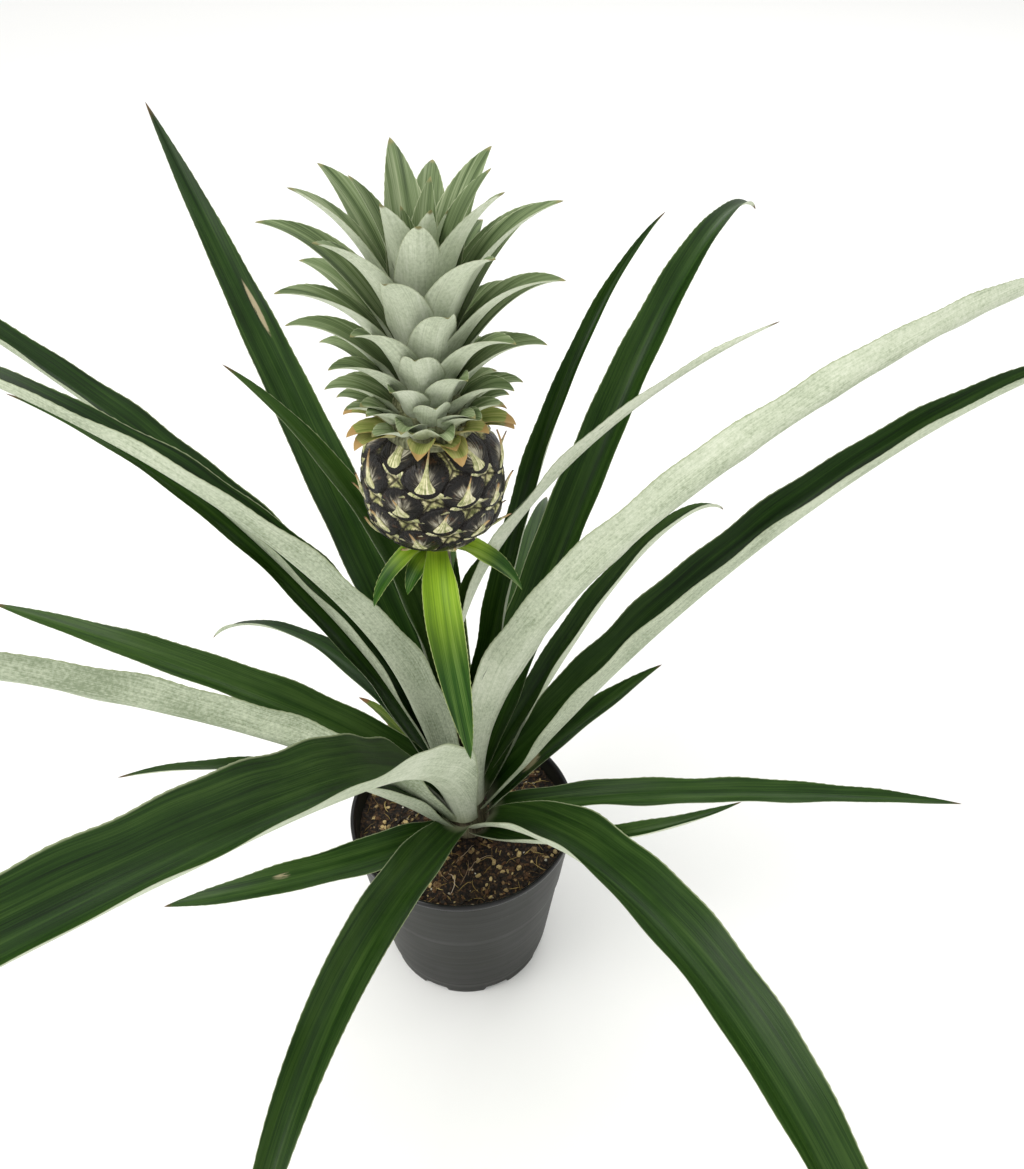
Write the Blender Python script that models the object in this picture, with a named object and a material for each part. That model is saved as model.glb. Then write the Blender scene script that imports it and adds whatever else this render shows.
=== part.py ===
"""A potted pineapple plant: a pot of soil, a short leafy stem with its stalk, a small fruit and its crown.

Metres, +Z up. The origin is the middle of the pot's flat base, on the surface that the pot stands on, and
the plant's front faces -Y. Azimuths are degrees about +Z from +X, and elevations are degrees above the
horizontal.
"""

import math
from collections import namedtuple

import bmesh
import bpy
from mathutils import Vector

# --- Driving dimensions, in metres ---
GAP = 0.0003  # clearance between neighbouring pieces
SOIL_EASE = 0.0001  # further clearance between the soil and the pot

POT_HEIGHT = 0.112
POT_RIM_RADIUS = 0.060
POT_BASE_RADIUS = 0.0455
POT_WALL = 0.0018
POT_FLOOR = 0.0022
POT_LIP_HEIGHT = 0.0035
POT_RIM_OVERHANG = 0.0010
POT_EDGE = 0.0008
POT_STEP = 0.0006
POT_FOOT_HEIGHT = 0.010
POT_SHOULDER_HEIGHT = 0.068
POT_STEP_HEIGHT = 0.001
POT_SHARP_ANGLE = 35.0
POT_SEGMENTS = 40
DRAIN_NOTCHES = 8
DRAIN_NOTCH_SIZE = (0.009, 0.012, 0.004)

SOIL_LEVEL = POT_HEIGHT - 0.0105
SOIL_RIPPLE = 0.0012
SOIL_SEGMENTS = 40

STEM_X = 0.0025
STEM_SEGMENTS = 14
STEM_FOOT = SOIL_LEVEL - 0.0165
CAUDEX_TOP = SOIL_LEVEL + 0.0475
CAUDEX_RADIUS = 0.0115
STALK_RADIUS = 0.0048
LEAF_ZONE = SOIL_LEVEL + 0.0035  # the lowest leaves grow here, just above the soil

FRUIT_BOTTOM = SOIL_LEVEL + 0.2020
FRUIT_TOP = FRUIT_BOTTOM + 0.0525
FRUIT_RADIUS = 0.029
FRUIT_X = -0.0045
FRUIT_SEGMENTS = 44
FRUIT_RINGS = 18
EYE_COUNT = 35
EYE_TURN = 240.0
EYE_SPREAD = 0.0072
EYE_HEIGHT = 0.0024
EYE_MARGIN = 0.04  # share of the barrel without eyes at either end
EYE_FADE = 8.0  # the eyes rise to their full height over one part in this many of the barrel
BARREL_FLATNESS = 3.2
BARREL_SHOULDER = 0.42
BARREL_END_RADIUS = 0.012

CROWN_BOTTOM = FRUIT_TOP + GAP
CROWN_TOP = FRUIT_TOP + 0.044
CROWN_RADIUS = 0.0150
CROWN_TAPER = 0.80
CROWN_X = -0.0050
CROWN_LEAVES = 20
CROWN_PLACES = 60  # places along the crown's spiral: its leaves are two and four places apart by turns
CROWN_CONE_CAP = 0.002
CROWN_FOLD = 30.0
CROWN_BEND = 1.5
CROWN_TURN = -66.0
CROWN_BASE_WIDTH = 0.0075
CROWN_FRONT_SHORTENING = 0.30
CROWN_FRONT_RISE = 20.0
CROWN_FRONT_DROOP = 50.0

GOLDEN_ANGLE = math.degrees(math.pi * (3.0 - math.sqrt(5.0)))

# Each foliage leaf: the azimuth where it leaves the stem and how far it swings round by the tip, its length
# and greatest flat width, its elevation at the base and at the tip, how late it bends (1 is even), the
# height of its base above the soil, the roll of its blade at the base and at the tip, and the half angle of
# its channel.
Leaf = namedtuple("Leaf", "name azimuth sweep length width rise droop bend base roll_base roll_tip fold")

FOLIAGE = (
    Leaf("leaf_tall_back_left", 134, -7, 0.355, 0.032, 63, 43, 0.92, 0.0405, 0, -5, 32),
    Leaf("leaf_short_back_left", 156, 4, 0.242, 0.025, 86, 33, 1.72, 0.0455, 0, 0, 36),
    Leaf("leaf_slim_back", 45, 9, 0.304, 0.022, 77, 13, 2.83, 0.0385, 0, 0, 58),
    Leaf("leaf_broad_back_right", 46, 14, 0.374, 0.034, 59, -36, 3.75, 0.0325, 0, 0, 44),
    Leaf("leaf_on_stalk", 14, -1, 0.195, 0.016, 75, 21, 0.82, 0.1455, -20, -60, 40),
    Leaf("leaf_long_right", -21, 74, 0.475, 0.033, 92, -25, 1.03, 0.0240, -60, -95, 36),
    Leaf("leaf_arching_right", 2, 24, 0.396, 0.039, 57, -6, 1.99, 0.0185, -8, -10, 62),
    Leaf("leaf_inner_right", 32, 11, 0.221, 0.024, 54, -45, 3.36, 0.0230, -8, -17, 58),
    Leaf("leaf_under_right", 12, -2, 0.125, 0.023, 50, 40, 1.00, 0.0125, 0, 0, 30),
    Leaf("leaf_low_right", -7, 8, 0.248, 0.022, 30, -9, 0.61, 0.0075, 0, -6, 30),
    Leaf("leaf_small_low_right", -49, 65, 0.152, 0.019, 34, 19, 1.35, 0.0045, 0, -10, 50),
    Leaf("leaf_front_right", -46, -27, 0.383, 0.043, 54, -52, 0.81, 0.0090, -14, -6, 42),
    Leaf("leaf_front_left", -113, 13, 0.264, 0.030, 29, -49, 2.16, 0.0110, -13, -18, 42),
    Leaf("leaf_low_left", 227, -48, 0.156, 0.026, 27, -17, 1.26, 0.0025, 0, 0, 30),
    Leaf("leaf_broad_front_left", -103, -50, 0.514, 0.057, 84, -11, 0.64, 0.0150, 14, 4, 44),
    Leaf("leaf_short_left", 211, -1, 0.198, 0.024, 56, 18, 1.85, 0.0060, 24, 20, 27),
    Leaf("leaf_long_left", 211, -3, 0.339, 0.033, 66, 37, 0.52, 0.0130, 40, 85, 34),
    Leaf("leaf_mid_left", 185, -24, 0.259, 0.028, 85, 4, 0.43, 0.0170, 0, -8, 34),
    Leaf("leaf_curled_left", 145, 9, 0.197, 0.019, 66, -52, 1.29, 0.0140, 0, 30, 32),
    Leaf("leaf_high_left", 151, 15, 0.414, 0.034, 87, 24, 0.33, 0.0315, 23, 12, 45),
    Leaf("leaf_arching_left", 215, -68, 0.400, 0.032, 85, -13, 1.50, 0.0220, 50, 10, 56),
    Leaf("leaf_behind_left", 152, 13, 0.298, 0.023, 60, 16, 1.45, 0.0245, 0, 0, 36),
    Leaf("leaf_yellowing_left", 147, -3, 0.080, 0.014, 69, -6, 1.49, 0.0090, 0, 0, 26),
    Leaf("leaf_back", 80, 0, 0.105, 0.015, 89, 84, 1.20, 0.0720, 0, 0, 34),
    Leaf("leaf_back_low", 100, -4, 0.260, 0.028, 55, -20, 1.40, 0.0130, 0, 0, 30),
    Leaf("leaf_back_right_low", 72, 10, 0.220, 0.024, 46, -25, 1.40, 0.0085, 0, 0, 30),
)

BRACTS = (
    Leaf("bract_front", -88, 28, 0.093, 0.018, -18, -74, 0.79, 0.1962, 0, 0, 24),
    Leaf("bract_small_front", -122, 0, 0.021, 0.010, 0, -62, 0.97, 0.1930, 0, 0, 22),
    Leaf("bract_left", 218, 0, 0.036, 0.010, 0, -69, 0.94, 0.1965, 0, 0, 22),
    Leaf("bract_right", -13, 0, 0.038, 0.013, 0, -63, 0.92, 0.1945, 0, 0, 22),
)

# Stages of the crown's spiral: the place along it (0 lowest, 1 topmost), then the height of the base above
# the crown's foot, the leaf's length and greatest flat width, and its elevation at the base and at the tip.
CROWN_STAGES = (
    (0.00, 0.0030, 0.019, 0.0130, 14, -24),
    (0.12, 0.0045, 0.022, 0.0160, 38, -12),
    (0.30, 0.0090, 0.033, 0.0175, 50, -4),
    (0.50, 0.0170, 0.052, 0.0195, 56, 6),
    (0.70, 0.0260, 0.074, 0.0220, 65, 20),
    (0.85, 0.0330, 0.073, 0.0210, 76, 46),
    (1.00, 0.0400, 0.040, 0.0100, 83, 64),
)

# Colours of the pieces: RGB, then roughness. Nothing here is metal.
POT_COLOUR = (0.045, 0.049, 0.048, 0.55)
SOIL_COLOUR = (0.060, 0.030, 0.016, 0.95)
STEM_COLOUR = (0.280, 0.270, 0.180, 0.60)
LEAF_COLOUR = (0.045, 0.115, 0.035, 0.42)
YELLOW_LEAF_COLOUR = (0.230, 0.260, 0.050, 0.50)
BRACT_COLOUR = (0.300, 0.480, 0.050, 0.45)
FRUIT_COLOUR = (0.230, 0.200, 0.110, 0.50)
CROWN_COLOUR = (0.270, 0.360, 0.230, 0.55)

LEAF_STATIONS = 13
LEAF_THICKNESS = 0.0019
LEAF_BASE_WIDTH = 0.011
BRACT_STATIONS = 10
BRACT_BASE_SHARE = 0.45
CROWN_STATIONS = 7
CROWN_THICKNESS = 0.0013
CLASP_FOLD = 60.0  # tilt of a blade's two halves at its base
CLASP_END = 0.4  # share of the length where the halves reach the leaf's own tilt
CREASE_END = 0.3  # share of the length where the bottom of the channel reaches its own width
ROLL_END = 0.25  # share of the length that the roll takes to set in
WIDEN_END = 0.22  # share of the length where the blade reaches its greatest width
POINT_START = 2.4  # how late the blade narrows to its point
POINT_FULLNESS = 0.85
TIP_THICKNESS = 0.35  # of the thickness at the base
MARGIN_THINNING = 0.4
CREASE = 0.35  # share of each half that the rounded bottom of the channel takes up
SECTION = (-0.5, 0.0, 0.5)  # where the blade's section has points between its two margins


def clear_scene():
    for thing in list(bpy.data.objects):
        bpy.data.objects.remove(thing, do_unlink=True)


def material(name, colour):
    """A plain finish: base colour and roughness, not metallic."""
    finish = bpy.data.materials.get(name)
    if finish:
        return finish
    finish = bpy.data.materials.new(name)
    finish.use_nodes = True
    shader = finish.node_tree.nodes["Principled BSDF"]
    shader.inputs["Base Color"].default_value = (*colour[:3], 1.0)
    shader.inputs["Roughness"].default_value = colour[3]
    shader.inputs["Metallic"].default_value = 0.0
    return finish


def add_object(name, points, faces, finish, smooth=True):
    """One closed body as one named object, its faces turned outwards."""
    mesh = bpy.data.meshes.new(name)
    shape = bmesh.new()
    corners = [shape.verts.new(point) for point in points]
    for face in faces:
        shape.faces.new([corners[index] for index in face])
    bmesh.ops.recalc_face_normals(shape, faces=shape.faces)
    shape.to_mesh(mesh)
    shape.free()
    if smooth:
        mesh.shade_smooth()
    mesh.materials.append(finish)
    thing = bpy.data.objects.new(name, mesh)
    bpy.context.scene.collection.objects.link(thing)
    return thing


def turned(rings):
    """Points and faces of a solid through closed rings of points, with a single point at either end."""
    points = [rings[0], *(point for ring in rings[1:-1] for point in ring), rings[-1]]
    around = len(rings[1])
    faces = []
    for step in range(around):
        after = (step + 1) % around
        faces.append((0, 1 + after, 1 + step))
        for ring in range(len(rings) - 3):
            low = 1 + ring * around
            high = low + around
            faces.append((low + step, low + after, high + after, high + step))
        last = 1 + (len(rings) - 3) * around
        faces.append((last + step, last + after, len(points) - 1))
    return points, faces


def circle(radius, height, segments, x=0.0):
    """A level ring of points about an upright axis through (x, 0)."""
    turn = 2.0 * math.pi / segments
    angles = [turn * step for step in range(segments)]
    return [(x + radius * math.cos(angle), radius * math.sin(angle), height) for angle in angles]


def mix(start, end, amount):
    return start + (end - start) * amount


def smooth_step(value):
    value = min(max(value, 0.0), 1.0)
    return value * value * (3.0 - 2.0 * value)


def pot_outer_radius(height):
    return mix(POT_BASE_RADIUS, POT_RIM_RADIUS - POT_RIM_OVERHANG, height / POT_HEIGHT)


def make_pot():
    """A tapered pot with a foot step, a stepped shoulder, a lip and drain notches at the base's edge."""
    lip = POT_HEIGHT - POT_LIP_HEIGHT
    shoulder = POT_SHOULDER_HEIGHT + POT_STEP_HEIGHT
    outside = [
        (POT_BASE_RADIUS - POT_STEP, 0.0),
        (pot_outer_radius(POT_FOOT_HEIGHT) - POT_STEP, POT_FOOT_HEIGHT),
        (pot_outer_radius(POT_FOOT_HEIGHT + POT_STEP_HEIGHT), POT_FOOT_HEIGHT + POT_STEP_HEIGHT),
        (pot_outer_radius(POT_SHOULDER_HEIGHT), POT_SHOULDER_HEIGHT),
        (pot_outer_radius(shoulder) + POT_STEP, shoulder),
        (pot_outer_radius(lip) + POT_STEP, lip),
        (POT_RIM_RADIUS, lip + POT_STEP),
        (POT_RIM_RADIUS, POT_HEIGHT - POT_EDGE),
        (POT_RIM_RADIUS - POT_RIM_OVERHANG, POT_HEIGHT),
    ]
    inside = [
        (POT_RIM_RADIUS - POT_RIM_OVERHANG - POT_STEP - POT_STEP, POT_HEIGHT),
        (pot_outer_radius(lip) - POT_WALL, lip),
        (pot_outer_radius(POT_FLOOR) - POT_WALL, POT_FLOOR),
    ]
    rings = [circle(radius, height, POT_SEGMENTS) for radius, height in outside + inside]
    points, faces = turned([(0.0, 0.0, 0.0), *rings, (0.0, 0.0, POT_FLOOR)])
    pot = add_object("pot", points, faces, material("pot_plastic", POT_COLOUR))
    pot.data.set_sharp_from_angle(angle=math.radians(POT_SHARP_ANGLE))
    depth, width, height = DRAIN_NOTCH_SIZE
    for index in range(DRAIN_NOTCHES):
        angle = 2.0 * math.pi * (index + 0.5) / DRAIN_NOTCHES
        bpy.ops.mesh.primitive_cube_add(size=1.0)
        cutter = bpy.context.object
        cutter.name = f"drain_cutter_{index}"
        cutter.scale = (depth, width, 2.0 * height)
        cutter.rotation_euler = (0.0, 0.0, angle)
        cutter.location = (POT_BASE_RADIUS * math.cos(angle), POT_BASE_RADIUS * math.sin(angle), 0.0)
        cutter.hide_render = True
        cutter.display_type = "WIRE"
        cut = pot.modifiers.new(f"notch_{index}", "BOOLEAN")
        cut.operation = "DIFFERENCE"
        cut.solver = "EXACT"
        cut.object = cutter


def soil_height(radius, angle):
    ripple = math.sin(5.0 * angle + 160.0 * radius) + math.sin(3.0 * angle - 210.0 * radius + 1.0)
    return SOIL_LEVEL + 0.5 * SOIL_RIPPLE * ripple


def make_soil():
    """The root ball fills the pot up to a rippled surface, with a socket that the stem's foot sits in."""
    socket = stem_radius(STEM_FOOT) + GAP
    rim = pot_outer_radius(SOIL_LEVEL) - POT_WALL - GAP - SOIL_EASE
    floor = POT_FLOOR + GAP
    foot = pot_outer_radius(floor) - POT_WALL - GAP - SOIL_EASE
    low = SOIL_LEVEL - SOIL_RIPPLE

    def surface(radius, x):
        ring = circle(radius, 0.0, SOIL_SEGMENTS, x)
        return [(px, py, soil_height(radius, math.atan2(py, px - x))) for px, py, _ in ring]

    rings = [
        circle(foot, floor, SOIL_SEGMENTS),
        circle(pot_outer_radius(low) - POT_WALL - GAP - SOIL_EASE, low - 0.002, SOIL_SEGMENTS),
        surface(rim - 0.001, 0.0),
        surface(mix(rim, socket, 0.33), 0.3 * STEM_X),
        surface(mix(rim, socket, 0.66), 0.6 * STEM_X),
        surface(socket + 0.0005, STEM_X),
        circle(socket, STEM_FOOT - GAP, SOIL_SEGMENTS, STEM_X),
    ]
    points, faces = turned([(0.0, 0.0, floor), *rings, (STEM_X, 0.0, STEM_FOOT - GAP)])
    add_object("soil", points, faces, material("peat", SOIL_COLOUR))


def stem_radius(height):
    """The stout leafy foot narrows to the slim stalk that carries the fruit."""
    return mix(CAUDEX_RADIUS, STALK_RADIUS, smooth_step((height - LEAF_ZONE) / (CAUDEX_TOP - LEAF_ZONE)))


def stem_x(height):
    """The stalk leans slightly, from the middle of the leaf rosette to the middle of the fruit."""
    lean = (height - LEAF_ZONE) / (FRUIT_BOTTOM - LEAF_ZONE)
    return mix(STEM_X, FRUIT_X, min(max(lean, 0.0), 1.0))


def make_stem():
    flare = [mix(LEAF_ZONE, CAUDEX_TOP, share) for share in (0.0, 0.2, 0.4, 0.6, 0.8, 1.0)]
    stalk = [mix(CAUDEX_TOP, FRUIT_BOTTOM - GAP, share) for share in (0.25, 0.5, 0.75, 1.0)]
    heights = [STEM_FOOT, *flare, *stalk]
    rings = [circle(stem_radius(height), height, STEM_SEGMENTS, stem_x(height)) for height in heights]
    foot = (STEM_X, 0.0, STEM_FOOT)
    top = (FRUIT_X, 0.0, FRUIT_BOTTOM - GAP)
    points, faces = turned([foot, *rings, top])
    add_object("stem_and_stalk", points, faces, material("stem_bark", STEM_COLOUR))


def fruit_profile(rise):
    """Radius of the barrel at a share of its height, flat at both ends."""
    return FRUIT_RADIUS * (1.0 - abs(2.0 * rise - 1.0) ** BARREL_FLATNESS) ** BARREL_SHOULDER


def eye_centres():
    """The eyes follow a golden-angle spiral up the barrel."""
    for index in range(EYE_COUNT):
        rise = mix(EYE_MARGIN, 1.0 - EYE_MARGIN, (index + 0.5) / EYE_COUNT)
        yield rise, math.radians(EYE_TURN + index * GOLDEN_ANGLE)


def make_fruit():
    height = FRUIT_TOP - FRUIT_BOTTOM
    rings = []
    for ring in range(FRUIT_RINGS + 1):
        rise = ring / FRUIT_RINGS
        z = FRUIT_BOTTOM + height * (0.5 - 0.5 * math.cos(math.pi * rise))
        rise = (z - FRUIT_BOTTOM) / height
        points = []
        for step in range(FRUIT_SEGMENTS):
            angle = 2.0 * math.pi * step / FRUIT_SEGMENTS
            radius = max(fruit_profile(rise) - EYE_HEIGHT, BARREL_END_RADIUS)
            bump = 0.0
            for eye_rise, eye_angle in eye_centres():
                along = (rise - eye_rise) * height
                around = math.remainder(angle - eye_angle, 2.0 * math.pi) * FRUIT_RADIUS
                bump = max(bump, 1.0 - (along * along + around * around) / EYE_SPREAD**2)
            fade = min(1.0, EYE_FADE * rise, EYE_FADE * (1.0 - rise))
            radius += EYE_HEIGHT * math.sqrt(max(bump, 0.0)) * fade
            points.append((FRUIT_X + radius * math.cos(angle), radius * math.sin(angle), z))
        rings.append(points)
    points, faces = turned([(FRUIT_X, 0.0, FRUIT_BOTTOM), *rings, (FRUIT_X, 0.0, FRUIT_TOP)])
    add_object("fruit", points, faces, material("fruit_skin", FRUIT_COLOUR))


def crown_radius(height):
    rise = (height - CROWN_BOTTOM) / (CROWN_TOP - CROWN_BOTTOM)
    return CROWN_RADIUS * (1.0 - CROWN_TAPER * min(max(rise, 0.0), 1.0))


def make_crown_stem():
    """The short cone that the crown's leaves grow from."""
    heights = [mix(CROWN_BOTTOM, CROWN_TOP, share) for share in (0.0, 0.25, 0.5, 0.75, 1.0)]
    rings = [circle(crown_radius(height), height, STEM_SEGMENTS, CROWN_X) for height in heights]
    foot = (CROWN_X, 0.0, CROWN_BOTTOM)
    top = (CROWN_X, 0.0, CROWN_TOP + CROWN_CONE_CAP)
    points, faces = turned([foot, *rings, top])
    add_object("crown_stem", points, faces, material("crown_green", CROWN_COLOUR))


def blade_width(share, base):
    """Share of the greatest width along a blade: a narrow base, a long even stretch and a long point."""
    widen = mix(base, 1.0, smooth_step(share / WIDEN_END))
    return widen * max(1.0 - share**POINT_START, 0.0) ** POINT_FULLNESS


def blade_fold(leaf, share):
    """Tilt, in radians, of the two halves of the channel: steepest where the blade clasps the stem."""
    return math.radians(mix(CLASP_FOLD, leaf.fold, smooth_step(share / CLASP_END)))


def make_blade(leaf, start, finish, stations, thickness, base_share):
    """A channelled blade swept along a bending centre line, closed at the base and drawn to a point."""
    point = Vector(start)
    step = leaf.length / stations
    centres = []
    for station in range(stations + 1):
        share = station / stations
        if station:
            middle = (station - 0.5) / stations
            point = point + step * direction(leaf, middle)
        centres.append((share, point.copy()))
    rings = [section(leaf, share, centre, thickness, base_share) for share, centre in centres[:-1]]
    tip = centres[-1][1]
    around = len(rings[0])
    points = [corner for ring in rings for corner in ring] + [tip]
    faces = []
    upper_corners = len(SECTION) + 1
    for ring in range(len(rings) - 1):
        for corner in range(around):
            after = (corner + 1) % around
            low = ring * around
            high = low + around
            if corner < upper_corners:
                faces.append((low + corner, low + after, high + after))
                faces.append((low + corner, high + after, high + corner))
            else:
                faces.append((low + corner, low + after, high + corner))
                faces.append((low + after, high + after, high + corner))
    last = (len(rings) - 1) * around
    for corner in range(around):
        faces.append((last + corner, last + (corner + 1) % around, len(points) - 1))
    inner = len(SECTION)
    faces.append((0, 1, around - 1))
    for corner in range(1, inner):
        faces.append((corner, corner + 1, around - corner - 1, around - corner))
    faces.append((inner, inner + 1, inner + 2))
    add_object(leaf.name, points, faces, finish)


def direction(leaf, share):
    """Unit direction of the centre line at a share of the leaf's length."""
    elevation = math.radians(mix(leaf.rise, leaf.droop, share**leaf.bend))
    azimuth = math.radians(leaf.azimuth + leaf.sweep * share)
    level = math.cos(elevation)
    return Vector((level * math.cos(azimuth), level * math.sin(azimuth), math.sin(elevation)))


def section(leaf, share, centre, thickness, base_share):
    """One ring of the blade: along its upper face from margin to margin, then back along the under face."""
    along = direction(leaf, share)
    azimuth = math.radians(leaf.azimuth + leaf.sweep * share)
    side = Vector((-math.sin(azimuth), math.cos(azimuth), 0.0))
    upper = along.cross(side)
    roll = math.radians(mix(leaf.roll_base, leaf.roll_tip, share)) * smooth_step(share / ROLL_END)
    turned_side = side * math.cos(roll) + upper * math.sin(roll)
    upper = upper * math.cos(roll) - side * math.sin(roll)
    side = turned_side
    half = 0.5 * leaf.width * blade_width(share, base_share)
    angle = blade_fold(leaf, share)
    thick = 0.5 * thickness * mix(1.0, TIP_THICKNESS, share)
    crease = mix(1.0, CREASE, smooth_step(share / CREASE_END))

    def at(place, lift):
        bent = angle * min(abs(place) / crease, 1.0)
        straight = max(abs(place) - crease, 0.0)
        across = half * (crease * math.sin(bent) / angle + straight * math.cos(angle))
        raised = half * (crease * (1.0 - math.cos(bent)) / angle + straight * math.sin(angle))
        return centre + side * math.copysign(across, place) + upper * (raised + lift)

    top = [at(place, thick * (1.0 - MARGIN_THINNING * abs(place))) for place in SECTION]
    under = [at(place, -thick * (1.0 - MARGIN_THINNING * abs(place))) for place in reversed(SECTION)]
    return [at(-1.0, 0.0), *top, at(1.0, 0.0), *under]


def leaf_start(leaf, thickness):
    """Where a leaf's centre line leaves the stem: just clear of the stem's surface."""
    height = SOIL_LEVEL + leaf.base
    reach = stem_radius(height) + GAP + 0.75 * thickness
    azimuth = math.radians(leaf.azimuth)
    return (stem_x(height) + reach * math.cos(azimuth), reach * math.sin(azimuth), height)


def make_foliage():
    green = material("leaf_green", LEAF_COLOUR)
    yellow = material("leaf_yellowing", YELLOW_LEAF_COLOUR)
    for leaf in FOLIAGE:
        finish = yellow if "yellowing" in leaf.name else green
        start = leaf_start(leaf, LEAF_THICKNESS)
        base_share = LEAF_BASE_WIDTH / leaf.width
        make_blade(leaf, start, finish, LEAF_STATIONS, LEAF_THICKNESS, base_share)


def make_bracts():
    lime = material("bract_lime", BRACT_COLOUR)
    for leaf in BRACTS:
        start = leaf_start(leaf, CROWN_THICKNESS)
        make_blade(leaf, start, lime, BRACT_STATIONS, CROWN_THICKNESS, BRACT_BASE_SHARE)


def crown_stage(place):
    """The measures of a crown leaf at a place along the spiral, between the two nearest stages."""
    for lower, upper in zip(CROWN_STAGES, CROWN_STAGES[1:]):
        if place <= upper[0]:
            share = (place - lower[0]) / (upper[0] - lower[0])
            return [mix(low, high, share) for low, high in zip(lower[1:], upper[1:])]
    return list(CROWN_STAGES[-1][1:])


def crown_leaf(index):
    """The leaves spread and lengthen up the spiral, then shorten; the front ones are more upright."""
    spiral = 3 * index + 1 - index % 2
    turn = CROWN_TURN + spiral * GOLDEN_ANGLE
    place = spiral / (CROWN_PLACES - 1)
    base, length, width, rise, droop = crown_stage(place)
    frontness = max(-math.sin(math.radians(turn)), 0.0) ** 2 * math.sqrt(1.0 - place)
    return Leaf(
        name=f"crown_leaf_{index + 1:02d}",
        azimuth=turn,
        sweep=0.0,
        length=length * (1.0 - CROWN_FRONT_SHORTENING * frontness),
        width=width,
        rise=rise + CROWN_FRONT_RISE * frontness,
        droop=droop + CROWN_FRONT_DROOP * frontness,
        bend=CROWN_BEND,
        base=base,
        roll_base=0.0,
        roll_tip=0.0,
        fold=CROWN_FOLD,
    )


def make_crown():
    green = material("crown_green", CROWN_COLOUR)
    for index in range(CROWN_LEAVES):
        leaf = crown_leaf(index)
        height = CROWN_BOTTOM + leaf.base
        reach = crown_radius(height) + GAP + 0.75 * CROWN_THICKNESS
        azimuth = math.radians(leaf.azimuth)
        start = (CROWN_X + reach * math.cos(azimuth), reach * math.sin(azimuth), height)
        base_share = CROWN_BASE_WIDTH * crown_radius(height) / CROWN_RADIUS / leaf.width
        make_blade(leaf, start, green, CROWN_STATIONS, CROWN_THICKNESS, base_share)


def main():
    clear_scene()
    make_pot()
    make_soil()
    make_stem()
    make_fruit()
    make_crown_stem()
    make_foliage()
    make_bracts()
    make_crown()


main()
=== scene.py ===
"""Looks of the potted pineapple plant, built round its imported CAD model.

Metres, +Z up, the pot's base on z = 0 and the plant's front towards -Y, as in the CAD. Azimuths are degrees
about +Z from +X, and elevations are degrees above the horizontal.
"""

import math
import random
from collections import namedtuple

import bpy
import numpy as np
from mathutils import Matrix, Vector, noise


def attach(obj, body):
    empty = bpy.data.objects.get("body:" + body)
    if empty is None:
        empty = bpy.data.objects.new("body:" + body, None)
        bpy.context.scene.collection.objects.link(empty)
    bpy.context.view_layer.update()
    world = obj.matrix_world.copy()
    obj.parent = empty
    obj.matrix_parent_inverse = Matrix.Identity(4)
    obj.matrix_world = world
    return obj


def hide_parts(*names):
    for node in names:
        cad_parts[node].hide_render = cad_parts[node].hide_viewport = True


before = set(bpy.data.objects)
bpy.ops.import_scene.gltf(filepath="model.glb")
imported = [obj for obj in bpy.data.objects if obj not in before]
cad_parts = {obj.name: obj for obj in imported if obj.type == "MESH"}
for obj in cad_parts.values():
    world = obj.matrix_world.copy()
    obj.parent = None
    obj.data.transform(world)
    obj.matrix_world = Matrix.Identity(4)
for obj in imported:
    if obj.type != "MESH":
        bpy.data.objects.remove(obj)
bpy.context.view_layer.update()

# --- Driving dimensions, in metres, as in the CAD ----------------------------------------------------------
POT_HEIGHT = 0.112
POT_RIM_RADIUS = 0.060
POT_BASE_RADIUS = 0.0455
POT_WALL = 0.0018
POT_LIP_HEIGHT = 0.0035
POT_LEDGE = 0.0006
POT_UNDERSIDE = 0.0016
POT_FLOOR = 0.0032
DRAIN_NOTCHES = 8
NOTCH_HALF_WIDTH = 0.0060
NOTCH_HEIGHT = 0.0036

SOIL_LEVEL = POT_HEIGHT - 0.0105
SOIL_FOOT = 0.085
STEM_X = 0.0025
STEM_FOOT = SOIL_LEVEL - 0.0165
CAUDEX_TOP = SOIL_LEVEL + 0.0475
CAUDEX_RADIUS = 0.0115
STALK_RADIUS = 0.0048
LEAF_ZONE = SOIL_LEVEL + 0.0035

FRUIT_BOTTOM = SOIL_LEVEL + 0.2020
FRUIT_TOP = FRUIT_BOTTOM + 0.0525
FRUIT_RADIUS = 0.029
FRUIT_X = -0.0045
EYE_COUNT = 35

CROWN_BOTTOM = FRUIT_TOP
CROWN_HEIGHT = 0.044
CROWN_X = -0.0050
CROWN_BLADES = 60

GAP = 0.0003
FOLIAGE_THICKNESS = 0.0019
BRACT_THICKNESS = 0.0013
CLASP_FOLD = 60.0
CROWN_CLASP_FOLD = 50.0
CREASE = 0.35
GOLDEN_ANGLE = math.degrees(math.pi * (3.0 - math.sqrt(5.0)))

# Azimuth at the base and swing to the tip, length and greatest flat width, elevation at the base and at the
# tip, how late it bends, height of the base above the soil, roll at the base and at the tip, and half the
# channel's angle.
Leaf = namedtuple("Leaf", "name azimuth sweep length width rise droop bend base roll_base roll_tip fold")

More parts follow.
